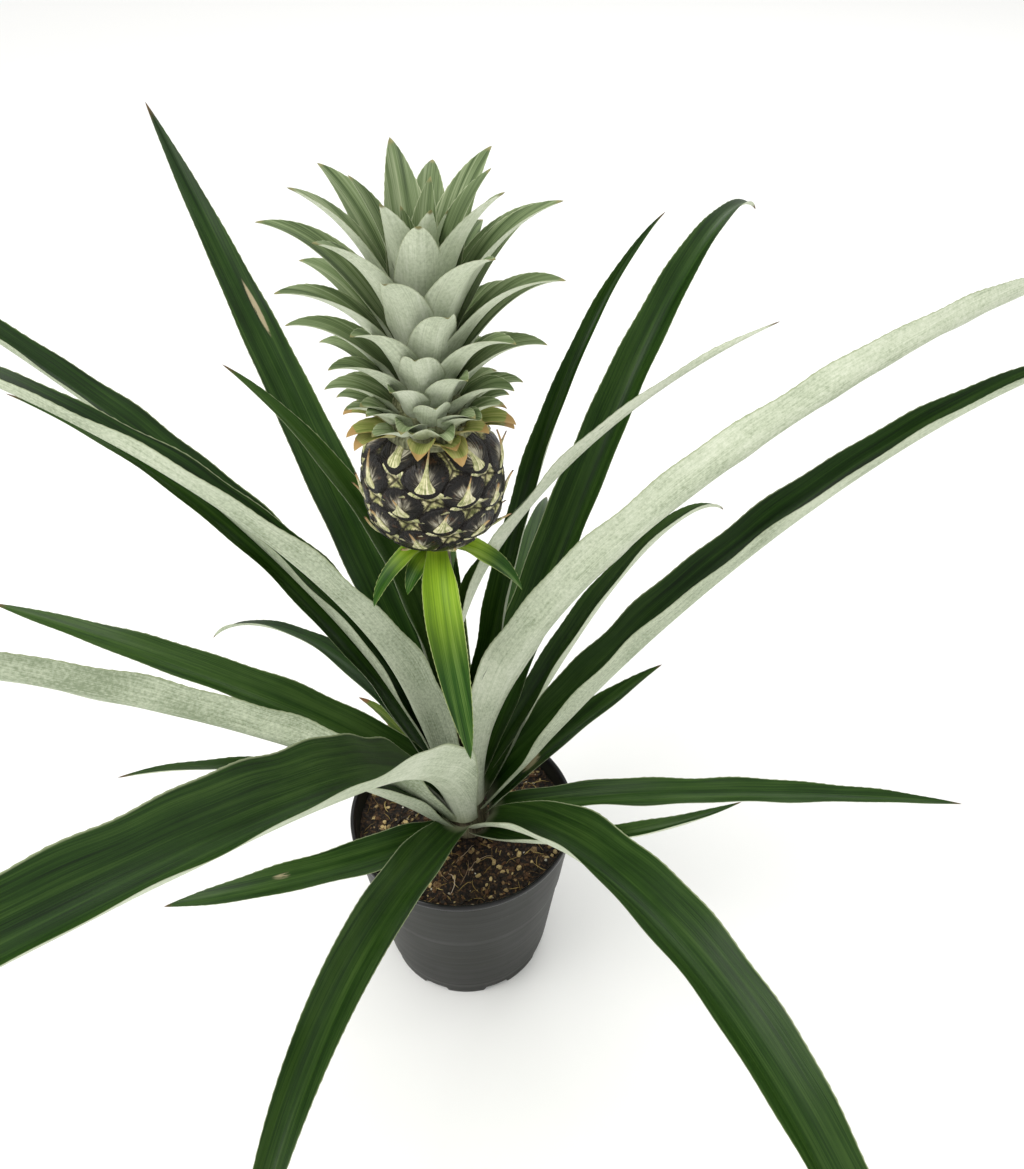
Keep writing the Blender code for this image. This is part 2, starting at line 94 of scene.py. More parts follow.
FOLIAGE = (
    Leaf("leaf_tall_back_left", 134, -7, 0.355, 0.032, 63, 43, 0.92, 0.0405, 0, -5, 32),
    Leaf("leaf_short_back_left", 156, 4, 0.242, 0.025, 86, 33, 1.72, 0.0455, 0, 0, 36),
    Leaf("leaf_slim_back", 45, 9, 0.304, 0.022, 77, 13, 2.83, 0.0385, 0, 0, 58),
    Leaf("leaf_broad_back_right", 46, 14, 0.374, 0.034, 59, -36, 3.75, 0.0325, 0, 0, 44),
    Leaf("leaf_on_stalk", 14, -1, 0.195, 0.016, 75, 21, 0.82, 0.1455, -20, -60, 40),
    Leaf("leaf_long_right", -21, 74, 0.475, 0.033, 92, -25, 1.03, 0.0240, -60, -95, 36),
    Leaf("leaf_arching_right", 2, 24, 0.396, 0.039, 57, -6, 1.99, 0.0185, -8, -10, 62),
    Leaf("leaf_inner_right", 32, 11, 0.221, 0.024, 54, -45, 3.36, 0.0230, -8, -17, 58),
    Leaf("leaf_under_right", 12, -2, 0.125, 0.023, 50, 40, 1.00, 0.0125, 0, 0, 30),
    Leaf("leaf_low_right", -7, 8, 0.248, 0.022, 30, -9, 0.61, 0.0075, 0, -6, 30),
    Leaf("leaf_small_low_right", -49, 65, 0.152, 0.019, 34, 19, 1.35, 0.0045, 0, -10, 50),
    Leaf("leaf_front_right", -46, -27, 0.383, 0.043, 54, -52, 0.81, 0.0090, -14, -6, 42),
    Leaf("leaf_front_left", -113, 13, 0.264, 0.030, 29, -49, 2.16, 0.0110, -13, -18, 42),
    Leaf("leaf_low_left", 227, -48, 0.156, 0.026, 27, -17, 1.26, 0.0025, 0, 0, 30),
    Leaf("leaf_broad_front_left", -103, -50, 0.514, 0.057, 84, -11, 0.64, 0.0150, 14, 4, 44),
    Leaf("leaf_short_left", 211, -1, 0.198, 0.024, 56, 18, 1.85, 0.0060, 24, 20, 27),
    Leaf("leaf_long_left", 211, -3, 0.339, 0.033, 66, 37, 0.52, 0.0130, 40, 85, 34),
    Leaf("leaf_mid_left", 185, -24, 0.259, 0.028, 85, 4, 0.43, 0.0170, 0, -8, 34),
    Leaf("leaf_curled_left", 145, 9, 0.197, 0.019, 66, -52, 1.29, 0.0140, 0, 30, 32),
    Leaf("leaf_high_left", 151, 15, 0.414, 0.034, 87, 24, 0.33, 0.0315, 23, 12, 45),
    Leaf("leaf_arching_left", 215, -68, 0.400, 0.032, 85, -13, 1.50, 0.0220, 50, 10, 56),
    Leaf("leaf_behind_left", 152, 13, 0.298, 0.023, 60, 16, 1.45, 0.0245, 0, 0, 36),
    Leaf("leaf_yellowing_left", 147, -3, 0.080, 0.014, 69, -6, 1.49, 0.0090, 0, 0, 26),
    Leaf("leaf_back", 80, 0, 0.105, 0.015, 89, 84, 1.20, 0.0720, 0, 0, 34),
    Leaf("leaf_back_low", 100, -4, 0.260, 0.028, 55, -20, 1.40, 0.0130, 0, 0, 30),
    Leaf("leaf_back_right_low", 72, 10, 0.220, 0.024, 46, -25, 1.40, 0.0085, 0, 0, 30),
)

BRACTS = (
    Leaf("bract_front", -88, 28, 0.093, 0.018, -18, -74, 0.79, 0.1962, 0, 0, 24),
    Leaf("bract_small_front", -122, 0, 0.021, 0.010, 0, -62, 0.97, 0.1930, 0, 0, 22),
    Leaf("bract_left", 218, 0, 0.036, 0.010, 0, -69, 0.94, 0.1965, 0, 0, 22),
    Leaf("bract_right", -13, 0, 0.038, 0.013, 0, -63, 0.92, 0.1945, 0, 0, 22),
)

# How a kind of blade is built: station spacing, thickness, tooth height, margin wave, width at its base.
Build = namedtuple("Build", "step thickness tooth wave base_width")
FOLIAGE_BUILD = Build(0.0016, 0.0011, 0.00045, 0.0007, 0.020)
BRACT_BUILD = Build(0.0009, 0.0007, 0.00045, 0.0005, 0.010)
CROWN_BUILD = Build(0.0010, 0.0008, 0.00035, 0.0002, 0.012)
COLLAR_BUILD = Build(0.0006, 0.0007, 0.00035, 0.0004, 0.011)

# Places of the points across a blade, from its middle (0) to its margin (1).
HALF_SECTION = (0.22, 0.44, 0.66, 0.86, 0.965)
SECTION = (*(-place for place in reversed(HALF_SECTION)), 0.0, *HALF_SECTION)

# Scars on an upper face: leaf, share along it, place across it, length in share, width across, strength.
SCARS = (
    ("leaf_tall_back_left", 0.70, -0.45, 0.045, 0.09, 1.0),
    ("leaf_low_left", 0.62, -0.35, 0.06, 0.16, 0.8),
    ("leaf_under_right", 0.28, 0.10, 0.08, 0.40, 0.8),
)

# How much lighter (above 0) or deeper (below 0) a leaf's faces are than the middle of their palette; for the
# long left leaf the deeper tint is painted shade.
USUAL_TINT = 0.2
TINTS_AND_PAINTED_SHADE = {
    "leaf_broad_front_left": 0.1,
    "leaf_mid_left": 0.7,
    "leaf_front_left": 0.3,
    "leaf_inner_right": 0.5,
    "leaf_short_back_left": 0.9,
    "leaf_on_stalk": 0.8,
    "leaf_broad_back_right": 0.1,
    "leaf_tall_back_left": 0.0,
    "leaf_arching_right": -0.2,
    "leaf_high_left": -0.5,
    "leaf_arching_left": -0.3,
    # Painted shade: both faces of this leaf are deepened where it lies in shade.
    "leaf_long_left": -1.0,
    "leaf_curled_left": -0.6,
}


def mix(start, end, amount):
    return start + (end - start) * amount


def smooth_step(value):
    value = np.clip(value, 0.0, 1.0)
    return value * value * (3.0 - 2.0 * value)


def turns(around):
    """Angles that divide a whole turn evenly."""
    return [2.0 * math.pi * step / around for step in range(around)]


def on_circle(middle, radius, angle, height):
    """A point of a level circle whose middle is on the plane y = 0."""
    return middle + radius * math.cos(angle), radius * math.sin(angle), height


# --- Materials ---------------------------------------------------------------------------------------------
class Finish:
    """A procedural material, with a short call for each kind of node that it is made of."""

    def __init__(self, name):
        self.material = bpy.data.materials.new(name)
        self.material.use_nodes = True
        self.tree = self.material.node_tree
        self.shader = self.tree.nodes["Principled BSDF"]

    def node(self, kind, **settings):
        made = self.tree.nodes.new("ShaderNode" + kind)
        for key, value in settings.items():
            setattr(made, key, value)
        return made

    def put(self, socket, value):
        """Links an output to a socket, or sets the socket to a plain value."""
        if isinstance(value, bpy.types.NodeSocket):
            self.tree.links.new(value, socket)
        elif isinstance(value, tuple) and len(value) == 3 and socket.type == "RGBA":
            socket.default_value = (*value, 1.0)
        else:
            socket.default_value = value

    def attribute(self, name):
        return self.node("Attribute", attribute_name=name).outputs["Vector"]

    def place(self):
        """Where the surface is, in metres."""
        return self.node("TexCoord").outputs["Object"]

    def parts(self, vector):
        split = self.node("SeparateXYZ")
        self.put(split.inputs[0], vector)
        return split.outputs

    def stretched(self, vector, factors):
        made = self.node("VectorMath", operation="MULTIPLY")
        self.put(made.inputs[0], vector)
        made.inputs[1].default_value = factors
        return made.outputs[0]

    def noise(self, vector, scale=1.0, detail=3.0, roughness=0.5, distortion=0.0):
        """Noise of one scale, or stretched by a scale for each axis."""
        if isinstance(scale, tuple):
            vector = self.stretched(vector, scale)
            scale = 1.0
        made = self.node("TexNoise")
        self.put(made.inputs["Vector"], vector)
        made.inputs["Scale"].default_value = scale
        made.inputs["Detail"].default_value = detail
        made.inputs["Roughness"].default_value = roughness
        made.inputs["Distortion"].default_value = distortion
        return made.outputs[0]

    def cells(self, vector, scale):
        made = self.node("TexVoronoi")
        self.put(made.inputs["Vector"], vector)
        made.inputs["Scale"].default_value = scale
        return made.outputs["Distance"]

    def math(self, operation, first, second=0.0, third=0.0):
        made = self.node("Math", operation=operation)
        for socket, value in zip(made.inputs, (first, second, third)):
            self.put(socket, value)
        return made.outputs[0]

    def weighed(self, first, first_weight, second, second_weight):
        return self.math("MULTIPLY_ADD", first, first_weight, self.math("MULTIPLY", second, second_weight))

    def ragged(self, value, grain, amount):
        """The value pushed up and down by a grain, which is 0.5 on average."""
        return self.math("ADD", value, self.math("MULTIPLY_ADD", grain, amount, -0.5 * amount))

    def band(self, value, low, high, bottom=0.0, top=1.0):
        """Smoothly from bottom at low to top at high."""
        made = self.node("MapRange", interpolation_type="SMOOTHSTEP")
        for socket, given in zip(made.inputs, (value, low, high, bottom, top)):
            self.put(socket, given)
        return made.outputs[0]

    def ramp(self, value, *stops):
        """Colours at places along a value: each stop is (place, colour)."""
        made = self.node("ValToRGB")
        elements = made.color_ramp.elements
        while len(elements) < len(stops):
            elements.new(0.5)
        for element, (place, colour) in zip(elements, stops):
            element.position = place
            element.color = (*colour, 1.0)
        self.put(made.inputs[0], value)
        return made.outputs[0]

    def blend(self, amount, first, second):
        made = self.node("Mix", data_type="RGBA")
        self.put(made.inputs[0], amount)
        self.put(made.inputs[6], first)
        self.put(made.inputs[7], second)
        return made.outputs[2]

    def bump(self, height, strength, distance, under=None):
        made = self.node("Bump")
        made.inputs["Strength"].default_value = strength
        made.inputs["Distance"].default_value = distance
        self.put(made.inputs["Height"], height)
        if under is not None:
            self.put(made.inputs["Normal"], under)
        return made.outputs[0]

    def finish(self, colour, roughness, normal=None, **fixed):
        self.put(self.shader.inputs["Base Color"], colour)
        self.put(self.shader.inputs["Roughness"], roughness)
        if normal is not None:
            self.put(self.shader.inputs["Normal"], normal)
        for key, value in fixed.items():
            self.shader.inputs[key.replace("_", " ")].default_value = value
        return self.material


# Colours of a kind of blade, linear RGB: the upper face from deep to light (its light end also the painted
# sheen), the under face from deep to light, the thin margin, the base and the dry tip.
BladeColours = namedtuple("BladeColours", "upper under margin base tip")
GREEN = BladeColours(
    upper=((0.005, 0.018, 0.002), (0.014, 0.044, 0.004), (0.044, 0.094, 0.015)),
    under=((0.280, 0.335, 0.215), (0.540, 0.600, 0.440), (0.720, 0.760, 0.610)),
    margin=(0.330, 0.380, 0.215),
    base=(0.480, 0.500, 0.330),
    tip=(0.120, 0.070, 0.030),
)
LIME = BladeColours(
    upper=((0.130, 0.250, 0.012), (0.270, 0.440, 0.022), (0.480, 0.600, 0.090)),
    under=((0.160, 0.300, 0.060), (0.280, 0.430, 0.100), (0.420, 0.560, 0.200)),
    margin=(0.450, 0.520, 0.200),
    base=(0.520, 0.560, 0.060),
    tip=(0.200, 0.300, 0.040),
)
BRACT_TIP_UPPER = ((0.008, 0.035, 0.002), (0.024, 0.080, 0.006), (0.140, 0.240, 0.050))
YELLOWED = BladeColours(
    upper=((0.110, 0.150, 0.035), (0.240, 0.280, 0.075), (0.460, 0.440, 0.180)),
    under=((0.300, 0.330, 0.130), (0.460, 0.460, 0.210), (0.620, 0.560, 0.290)),
    margin=(0.420, 0.260, 0.090),
    base=(0.420, 0.420, 0.160),
    tip=(0.400, 0.260, 0.100),
)
AGEING = BladeColours(
    upper=((0.030, 0.060, 0.006), (0.070, 0.120, 0.014), (0.170, 0.200, 0.040)),
    under=((0.200, 0.230, 0.100), (0.340, 0.370, 0.190), (0.460, 0.470, 0.280)),
    margin=(0.300, 0.150, 0.060),
    base=(0.300, 0.320, 0.130),
    tip=(0.160, 0.080, 0.030),
)
SILVER = BladeColours(
    upper=((0.050, 0.080, 0.028), (0.150, 0.205, 0.090), (0.400, 0.460, 0.280)),
    under=((0.480, 0.540, 0.380), (0.680, 0.740, 0.560), (0.840, 0.880, 0.730)),
    margin=(0.460, 0.500, 0.320),
    base=(0.440, 0.500, 0.340),
    tip=(0.240, 0.230, 0.100),
)


# Grains of a blade: how fine they are across it, along it and from one blade to the next.
FIBRE = (2300.0, 22.0, 9.0)
STRIPE = (420.0, 7.0, 5.0)
# The broad patches: a painted sheen on the upper face, and a mottle on the under face and at the base.
SHEEN_AND_MOTTLE = (60.0, 26.0, 3.0)
SCURF = (900.0, 620.0, 9.0)
SCRATCH = (520.0, 60.0, 4.0)
UPPER_STOPS = (0.34, 0.50, 0.72)
UNDER_STOPS = (0.36, 0.50, 0.64)
SCAR_COLOUR = (0.400, 0.340, 0.210)


def blade_finish(name, colours, roughness, tip_start, deepening=None):
    """Fibres along the blade, with a green, glossy upper face and a pale, scurfy under face; broad patches of
    painted sheen lighten the upper face.

    Where deepening gives a band of shares along the blade, the upper face darkens over it to the bracts' tip.
    """
    make = Finish(name)
    flat = make.attribute("blade")
    across, share, under = make.parts(make.attribute("place"))[:3]
    tint, scar, dryness = make.parts(make.attribute("mark"))[:3]
    fibre = make.noise(flat, FIBRE, detail=2.0)
    stripe = make.noise(flat, STRIPE)
    patch = make.noise(flat, SHEEN_AND_MOTTLE, roughness=0.6)
    scurf = make.noise(flat, SCURF, roughness=0.7)
    scratch = make.noise(flat, SCRATCH, detail=4.0, roughness=0.75, distortion=0.6)

    tone = make.weighed(fibre, 0.45, stripe, 0.55)
    # Painted sheen: broad slow patches along the blade lift the upper face towards its light colour.
    tone = make.math("MULTIPLY_ADD", make.math("SUBTRACT", patch, 0.5), 0.25, tone)
    tone = make.math("ADD", tone, make.math("MULTIPLY", tint, 0.16))
    top = make.ramp(tone, *zip(UPPER_STOPS, colours.upper))
    if deepening:
        deep = make.ramp(tone, *zip(UPPER_STOPS, BRACT_TIP_UPPER))
        top = make.blend(make.band(share, *deepening), top, deep)

    pale = make.weighed(scurf, 0.40, patch, 0.35)
    pale = make.math("MULTIPLY_ADD", fibre, 0.25, pale)
    pale = make.math("ADD", pale, make.math("MULTIPLY", tint, 0.08))
    bottom = make.ramp(pale, *zip(UNDER_STOPS, colours.under))
    bottom = make.blend(make.band(scratch, 0.66, 0.74, 0.0, 0.6), bottom, colours.upper[1])

    colour = make.blend(make.band(under, 0.3, 0.7), top, bottom)
    edge = make.band(make.math("ABSOLUTE", across), 0.955, 0.99, 0.0, 0.75)
    colour = make.blend(edge, colour, colours.margin)
    foot = make.band(make.math("ADD", share, make.math("MULTIPLY", patch, 0.03)), 0.010, 0.050, 0.55, 0.0)
    colour = make.blend(foot, colour, colours.base)
    dry = make.ragged(share, stripe, 0.03)
    dry = make.math("ADD", dry, make.math("MULTIPLY", dryness, 0.10))
    colour = make.blend(make.band(dry, tip_start, tip_start + 0.03), colour, colours.tip)
    torn = make.math("MULTIPLY", scar, make.band(scratch, 0.30, 0.52, 0.35, 1.0))
    colour = make.blend(make.band(torn, 0.35, 0.6), colour, SCAR_COLOUR)

    rough = make.math("MULTIPLY_ADD", under, 0.22, make.math("MULTIPLY_ADD", stripe, 0.16, roughness))
    ridges = make.bump(fibre, 0.28, 0.0004)
    ridges = make.bump(scurf, 0.12, 0.0003, ridges)
    return make.finish(colour, rough, ridges, Specular_IOR_Level=0.17)


# --- Meshes ------------------------------------------------------------------------------------------------
def add_object(name, data):
    made = bpy.data.objects.new(name, data)
    bpy.context.scene.collection.objects.link(made)
    return made


def add_piece(name, finish, slot, points, faces, attributes=None, sharp=50.0):
    """A smooth-shaded mesh that rides with the plant."""
    mesh = bpy.data.meshes.new(name)
    mesh.from_pydata([tuple(point) for point in points], [], [tuple(face) for face in faces])
    for key, values in (attributes or {}).items():
        layer = mesh.attributes.new(key, "FLOAT_VECTOR", "POINT")
        layer.data.foreach_set("vector", np.asarray(values, np.float32).ravel())
    mesh.shade_smooth()
    mesh.set_sharp_from_angle(angle=math.radians(sharp))
    mesh.materials.append(finish)
    mesh.validate()
    piece = add_object(name, mesh)
    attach(piece, "root")
    return piece


def ring_faces(rings, around):
    """Quads between closed rings of points, stored one after another."""
    faces = []
    for ring in range(rings - 1):
        low = ring * around
        high = low + around
        for step in range(around):
            after = (step + 1) % around
            faces.append((low + step, low + after, high + after, high + step))
    return faces


def fan(centre, start, around, flipped=False):
    """Triangles from one point to a closed ring."""
    faces = []
    for step in range(around):
        after = start + (step + 1) % around
        faces.append((centre, start + step, after) if flipped else (centre, after, start + step))
    return faces


def capped_faces(points, rings, around, bottom, top):
    """Faces of the body that rings of points enclose, after adding a middle point for each end."""
    points.append(bottom)
    points.append(top)
    faces = ring_faces(rings, around)
    faces += fan(len(points) - 2, 0, around)
    faces += fan(len(points) - 1, (rings - 1) * around, around, flipped=True)
    return faces


def foliage_width(share, base):
    """Width along a leaf as a share of its greatest, from the base's share of it."""
    return mix(base, 1.0, smooth_step(share / 0.22)) * np.maximum(1.0 - share**2.4, 0.0) ** 0.85


def crown_width(share, base):
    return mix(base, 1.0, smooth_step(share / 0.35)) * np.maximum(1.0 - share**2.5, 0.0) ** 0.90


ROLL_WAVER = math.radians(2.5)
ROLL_WAVE_LENGTH = 0.045
MARGIN_WAVE_LENGTHS = (0.011, 0.006)
TOOTH_STATIONS = 3
ANY_PHASE = 6.3
BLADE_STEP_IN_NOISE = 0.73


def blade_line(leaf, start, share, draw):
    """The centre line, with the unit vectors across the blade and off its upper face along it."""

    def heading(places):
        elevation = np.radians(mix(leaf.rise, leaf.droop, places**leaf.bend))
        azimuth = np.radians(leaf.azimuth + leaf.sweep * places)
        level = np.cos(elevation)
        along = np.stack((level * np.cos(azimuth), level * np.sin(azimuth), np.sin(elevation)), -1)
        return along, azimuth

    steps, _ = heading(0.5 * (share[:-1] + share[1:]))
    centre = np.vstack(([start], start + np.cumsum(steps, 0) * leaf.length / len(steps)))
    along, azimuth = heading(share)
    side = np.stack((-np.sin(azimuth), np.cos(azimuth), 0.0 * azimuth), -1)
    upper = np.cross(along, side)
    roll = np.radians(mix(leaf.roll_base, leaf.roll_tip, share)) * smooth_step(share / 0.25)
    phase = share * leaf.length / ROLL_WAVE_LENGTH + draw.uniform(0.0, ANY_PHASE)
    roll = roll + ROLL_WAVER * np.sin(phase) * smooth_step(share / 0.3)
    cosine = np.cos(roll)[:, None]
    sine = np.sin(roll)[:, None]
    return centre, side * cosine + upper * sine, upper * cosine - side * sine


def blade_faces(stations, around):
    """Faces of a blade: its rings of points, its point and the flat closing of its base."""
    faces = ring_faces(stations, around)
    faces += fan(stations * around, (stations - 1) * around, around, flipped=True)
    inner = len(SECTION)
    faces.append((around - 1, 1, 0))
    for corner in range(1, inner):
        faces.append((around - corner, around - corner - 1, corner + 1, corner))
    faces.append((inner + 2, inner + 1, inner))
    return faces


def blade_attributes(leaf, share, half, seed, tint, dryness):
    """What the finish reads: the flattened blade, the place on it, and its tint, scars and dryness."""
    stations = len(share) - 1
    places = np.array([-1.0, *SECTION, 1.0, *reversed(SECTION)])
    sides = np.array([0.5, *(0.0 for _ in SECTION), 0.5, *(1.0 for _ in SECTION)])
    around = len(places)
    level = seed * BLADE_STEP_IN_NOISE
    flat = np.empty((stations, around, 3))
    flat[..., 0] = half[:-1, None] * places
    flat[..., 1] = (share * leaf.length)[:-1, None]
    flat[..., 2] = level
    place = np.empty((stations, around, 3))
    place[..., 0] = places
    place[..., 1] = share[:-1, None]
    place[..., 2] = sides
    scar = np.zeros((stations, around))
    for name, at_share, at_across, long, wide, strength in SCARS:
        if name == leaf.name:
            distance = ((place[..., 1] - at_share) / long) ** 2 + ((place[..., 0] - at_across) / wide) ** 2
            scar = np.maximum(scar, strength * np.exp(-distance) * (place[..., 2] < 0.6))
    mark = np.stack((np.full_like(scar, tint), scar, np.full_like(scar, dryness)), -1)
    return {
        "blade": np.vstack((flat.reshape(-1, 3), [[0.0, leaf.length, level]])),
        "place": np.vstack((place.reshape(-1, 3), [[0.0, 1.0, 0.5]])),
        "mark": np.vstack((mark.reshape(-1, 3), [[tint, 0.0, dryness]])),
    }


def blade_mesh(leaf, start, build, width_at, clasp, seed, tint=0.0, dryness=0.0):
    """Points, faces and shading attributes of one channelled, toothed blade with two faces."""
    draw = random.Random(seed)
    stations = max(int(leaf.length / build.step), 18)
    share = np.linspace(0.0, 1.0, stations + 1)
    length = share * leaf.length
    centre, side, upper = blade_line(leaf, start, share, draw)
    half = 0.5 * leaf.width * width_at(share, min(build.base_width / leaf.width, 1.0))
    fold = np.radians(mix(clasp, leaf.fold, smooth_step(share / 0.4)))
    crease = mix(1.0, CREASE, smooth_step(share / 0.3))
    thick = 0.5 * build.thickness * mix(1.0, 0.40, share)
    phases = [draw.uniform(0.0, ANY_PHASE) for _ in range(4)]

    def across(place, lift, out=0.0):
        """The points at one place across the blade, raised off its middle and pushed past its margin."""
        hand = 0 if place < 0.0 else 2
        long_wave, short_wave = (
            np.sin(length / period + phase) for period, phase in zip(MARGIN_WAVE_LENGTHS, phases[hand:])
        )
        wave = build.wave * (long_wave + 0.8 * short_wave) * place**2
        wave = wave * smooth_step(share / 0.15) * half / (0.5 * leaf.width)
        bent = fold * np.minimum(abs(place) / crease, 1.0)
        straight = np.maximum(abs(place) - crease, 0.0)
        reach = half * (crease * np.sin(bent) / fold + straight * np.cos(fold)) * np.sign(place)
        height = half * (crease * (1.0 - np.cos(bent)) / fold + straight * np.sin(fold))
        reach = reach + out * np.cos(fold)
        height = height + lift + wave + abs(out) * np.sin(fold)
        return centre + side * reach[:, None] + upper * height[:, None]

    beat = np.arange(stations + 1) % TOOTH_STATIONS / (TOOTH_STATIONS - 1.0)
    tooth = build.tooth * beat * mix(0.35, 1.0, share**2) * smooth_step(share / 0.1) * (1.0 - share**8)
    tooth = tooth * np.array([draw.uniform(0.6, 1.15) for _ in share])
    lines = [across(-1.0, 0.0, -tooth)]
    lines += [across(place, thick * (1.0 - 0.55 * abs(place))) for place in SECTION]
    lines += [across(1.0, 0.0, tooth)]
    lines += [across(place, -thick * (1.0 - 0.55 * abs(place))) for place in reversed(SECTION)]
    grid = np.stack(lines, 1)[:-1]
    points = np.vstack((grid.reshape(-1, 3), centre[-1:]))
    faces = blade_faces(stations, len(lines))
    return points, faces, blade_attributes(leaf, share, half, seed, tint, dryness)


def stem_radius(height):
    return mix(CAUDEX_RADIUS, STALK_RADIUS, smooth_step((height - LEAF_ZONE) / (CAUDEX_TOP - LEAF_ZONE)))


def stem_x(height):
    lean = (height - LEAF_ZONE) / (FRUIT_BOTTOM - LEAF_ZONE)
    return mix(STEM_X, FRUIT_X, min(max(lean, 0.0), 1.0))


def leaf_start(leaf, thickness):
    """Middle of a leaf's base, just clear of the stem."""
    height = SOIL_LEVEL + leaf.base
    reach = stem_radius(height) + GAP + 0.75 * thickness
    return np.array(on_circle(stem_x(height), reach, math.radians(leaf.azimuth), height))


def make_foliage():
    green = blade_finish("leaf_green_fibres", GREEN, roughness=0.30, tip_start=0.965)
    yellow = blade_finish("leaf_ageing_fibres", AGEING, roughness=0.40, tip_start=0.90)
    for seed, leaf in enumerate(FOLIAGE, start=1):
        finish, slot = (yellow, "leaf_yellowing") if "yellowing" in leaf.name else (green, "leaf_green")
        start = leaf_start(leaf, FOLIAGE_THICKNESS)
        tint = TINTS_AND_PAINTED_SHADE.get(leaf.name, USUAL_TINT)
        mesh = blade_mesh(leaf, start, FOLIAGE_BUILD, foliage_width, CLASP_FOLD, seed, tint)
        piece = add_piece(leaf.name + "_blade", finish, slot, *mesh)
        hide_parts(leaf.name)


def make_bracts():
    lime = blade_finish("bract_lime_fibres", LIME, roughness=0.34, tip_start=0.975, deepening=(0.12, 0.60))
    for seed, leaf in enumerate(BRACTS, start=40):
        start = leaf_start(leaf, BRACT_THICKNESS)
        mesh = blade_mesh(leaf, start, BRACT_BUILD, foliage_width, CLASP_FOLD, seed)
        piece = add_piece(leaf.name + "_blade", lime, "bract_lime", *mesh)
        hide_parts(leaf.name)


# The crown from its foot (0) to its top (1): place, base height above the fruit, reach of the base from the
# axis, length, width, elevation at the base and at the tip.
CROWN_TABLE = np.array((
    (0.00, -0.0010, 0.0165, 0.019, 0.0130, 14.0, -24.0),
    (0.12, 0.0030, 0.0150, 0.022, 0.0160, 38.0, -12.0),
    (0.30, 0.0090, 0.0125, 0.033, 0.0185, 50.0, -6.0),
    (0.50, 0.0170, 0.0100, 0.052, 0.0210, 56.0, 2.0),
    (0.70, 0.0260, 0.0075, 0.074, 0.0240, 65.0, 16.0),
    (0.85, 0.0330, 0.0055, 0.073, 0.0240, 76.0, 44.0),
    (1.00, 0.0400, 0.0030, 0.042, 0.0140, 88.0, 80.0),
))
CROWN_TURN = -66.0
CROWN_FOLD = 30.0
CROWN_BEND = 2.1
CROWN_SAG = 12.0
FRONT_SHORTENING = 0.30
FRONT_RISE = 20.0
FRONT_UPTURN = 50.0
CROWN_SEED = 100
COLLAR_SEED = 200
YELLOWED_BLADES = 5
COLLAR_TURN = 24.0
COLLAR_LEAVES = 26
COLLAR_BEND = 1.8
YELLOWED_COLLAR = 0.45
AXIS_FOOT = -0.0030


def crown_leaf(index):
    """A leaf of the crown's spiral; those at the front are shorter and more upright."""
    place = index / (CROWN_BLADES - 1)
    base, reach, length, width, rise, droop = (
        float(np.interp(place, CROWN_TABLE[:, 0], CROWN_TABLE[:, column])) for column in range(1, 7)
    )
    azimuth = CROWN_TURN + index * GOLDEN_ANGLE
    front = max(-math.sin(math.radians(azimuth)), 0.0) ** 2 * math.sqrt(1.0 - place)
    length *= 1.0 - FRONT_SHORTENING * front
    rise += FRONT_RISE * front
    droop += FRONT_UPTURN * front
    droop -= CROWN_SAG
    name = f"crown_blade_{index + 1:02d}"
    leaf = Leaf(name, azimuth, 0.0, length, width, rise, droop, CROWN_BEND, base, 0.0, 0.0, CROWN_FOLD)
    return leaf, reach, place


def collar_leaf(index, draw):
    """A short broad scale leaf, close around the crown's foot."""
    place = index / (COLLAR_LEAVES - 1)
    leaf = Leaf(
        name=f"crown_collar_{index + 1:02d}",
        azimuth=COLLAR_TURN + index * GOLDEN_ANGLE,
        sweep=draw.uniform(-12.0, 12.0),
        length=mix(0.0150, 0.0190, place) * draw.uniform(0.88, 1.12),
        width=mix(0.0115, 0.0140, place),
        rise=mix(16.0, 58.0, place) + draw.uniform(-5.0, 5.0),
        droop=mix(-42.0, 12.0, place) + draw.uniform(-14.0, 14.0),
        bend=COLLAR_BEND,
        base=mix(-0.0012, 0.0060, place),
        roll_base=0.0,
        roll_tip=draw.uniform(-15.0, 15.0),
        fold=CROWN_FOLD,
    )
    return leaf, mix(0.0178, 0.0152, place), place


def crown_start(leaf, reach):
    """Middle of a crown leaf's base."""
    return np.array(on_circle(CROWN_X, reach, math.radians(leaf.azimuth), CROWN_BOTTOM + leaf.base))


def make_crown(silver, yellow):
    for index in range(CROWN_BLADES):
        leaf, reach, place = crown_leaf(index)
        start = crown_start(leaf, reach)
        dryness = max(0.0, 0.6 - 2.5 * place)
        seed = CROWN_SEED + index
        mesh = blade_mesh(leaf, start, CROWN_BUILD, crown_width, CROWN_CLASP_FOLD, seed, dryness=dryness)
        finish = yellow if index < YELLOWED_BLADES else silver
        piece = add_piece(leaf.name, finish, "crown_green", *mesh)
        step, kind = divmod(index, 6)
        if kind in (1, 3):
            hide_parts(f"crown_leaf_{2 * step + (kind + 1) // 2:02d}")


def make_crown_collar(silver, yellow):
    """The lowest of the collar's leaves are yellowed and lie on the fruit."""
    draw = random.Random(21)
    for index in range(COLLAR_LEAVES):
        leaf, reach, place = collar_leaf(index, draw)
        start = crown_start(leaf, reach)
        seed = COLLAR_SEED + index
        mesh = blade_mesh(leaf, start, COLLAR_BUILD, foliage_width, CROWN_CLASP_FOLD, seed, 0.5, 0.5)
        finish = yellow if place < YELLOWED_COLLAR else silver
        add_piece(leaf.name, finish, "crown_green", *mesh)


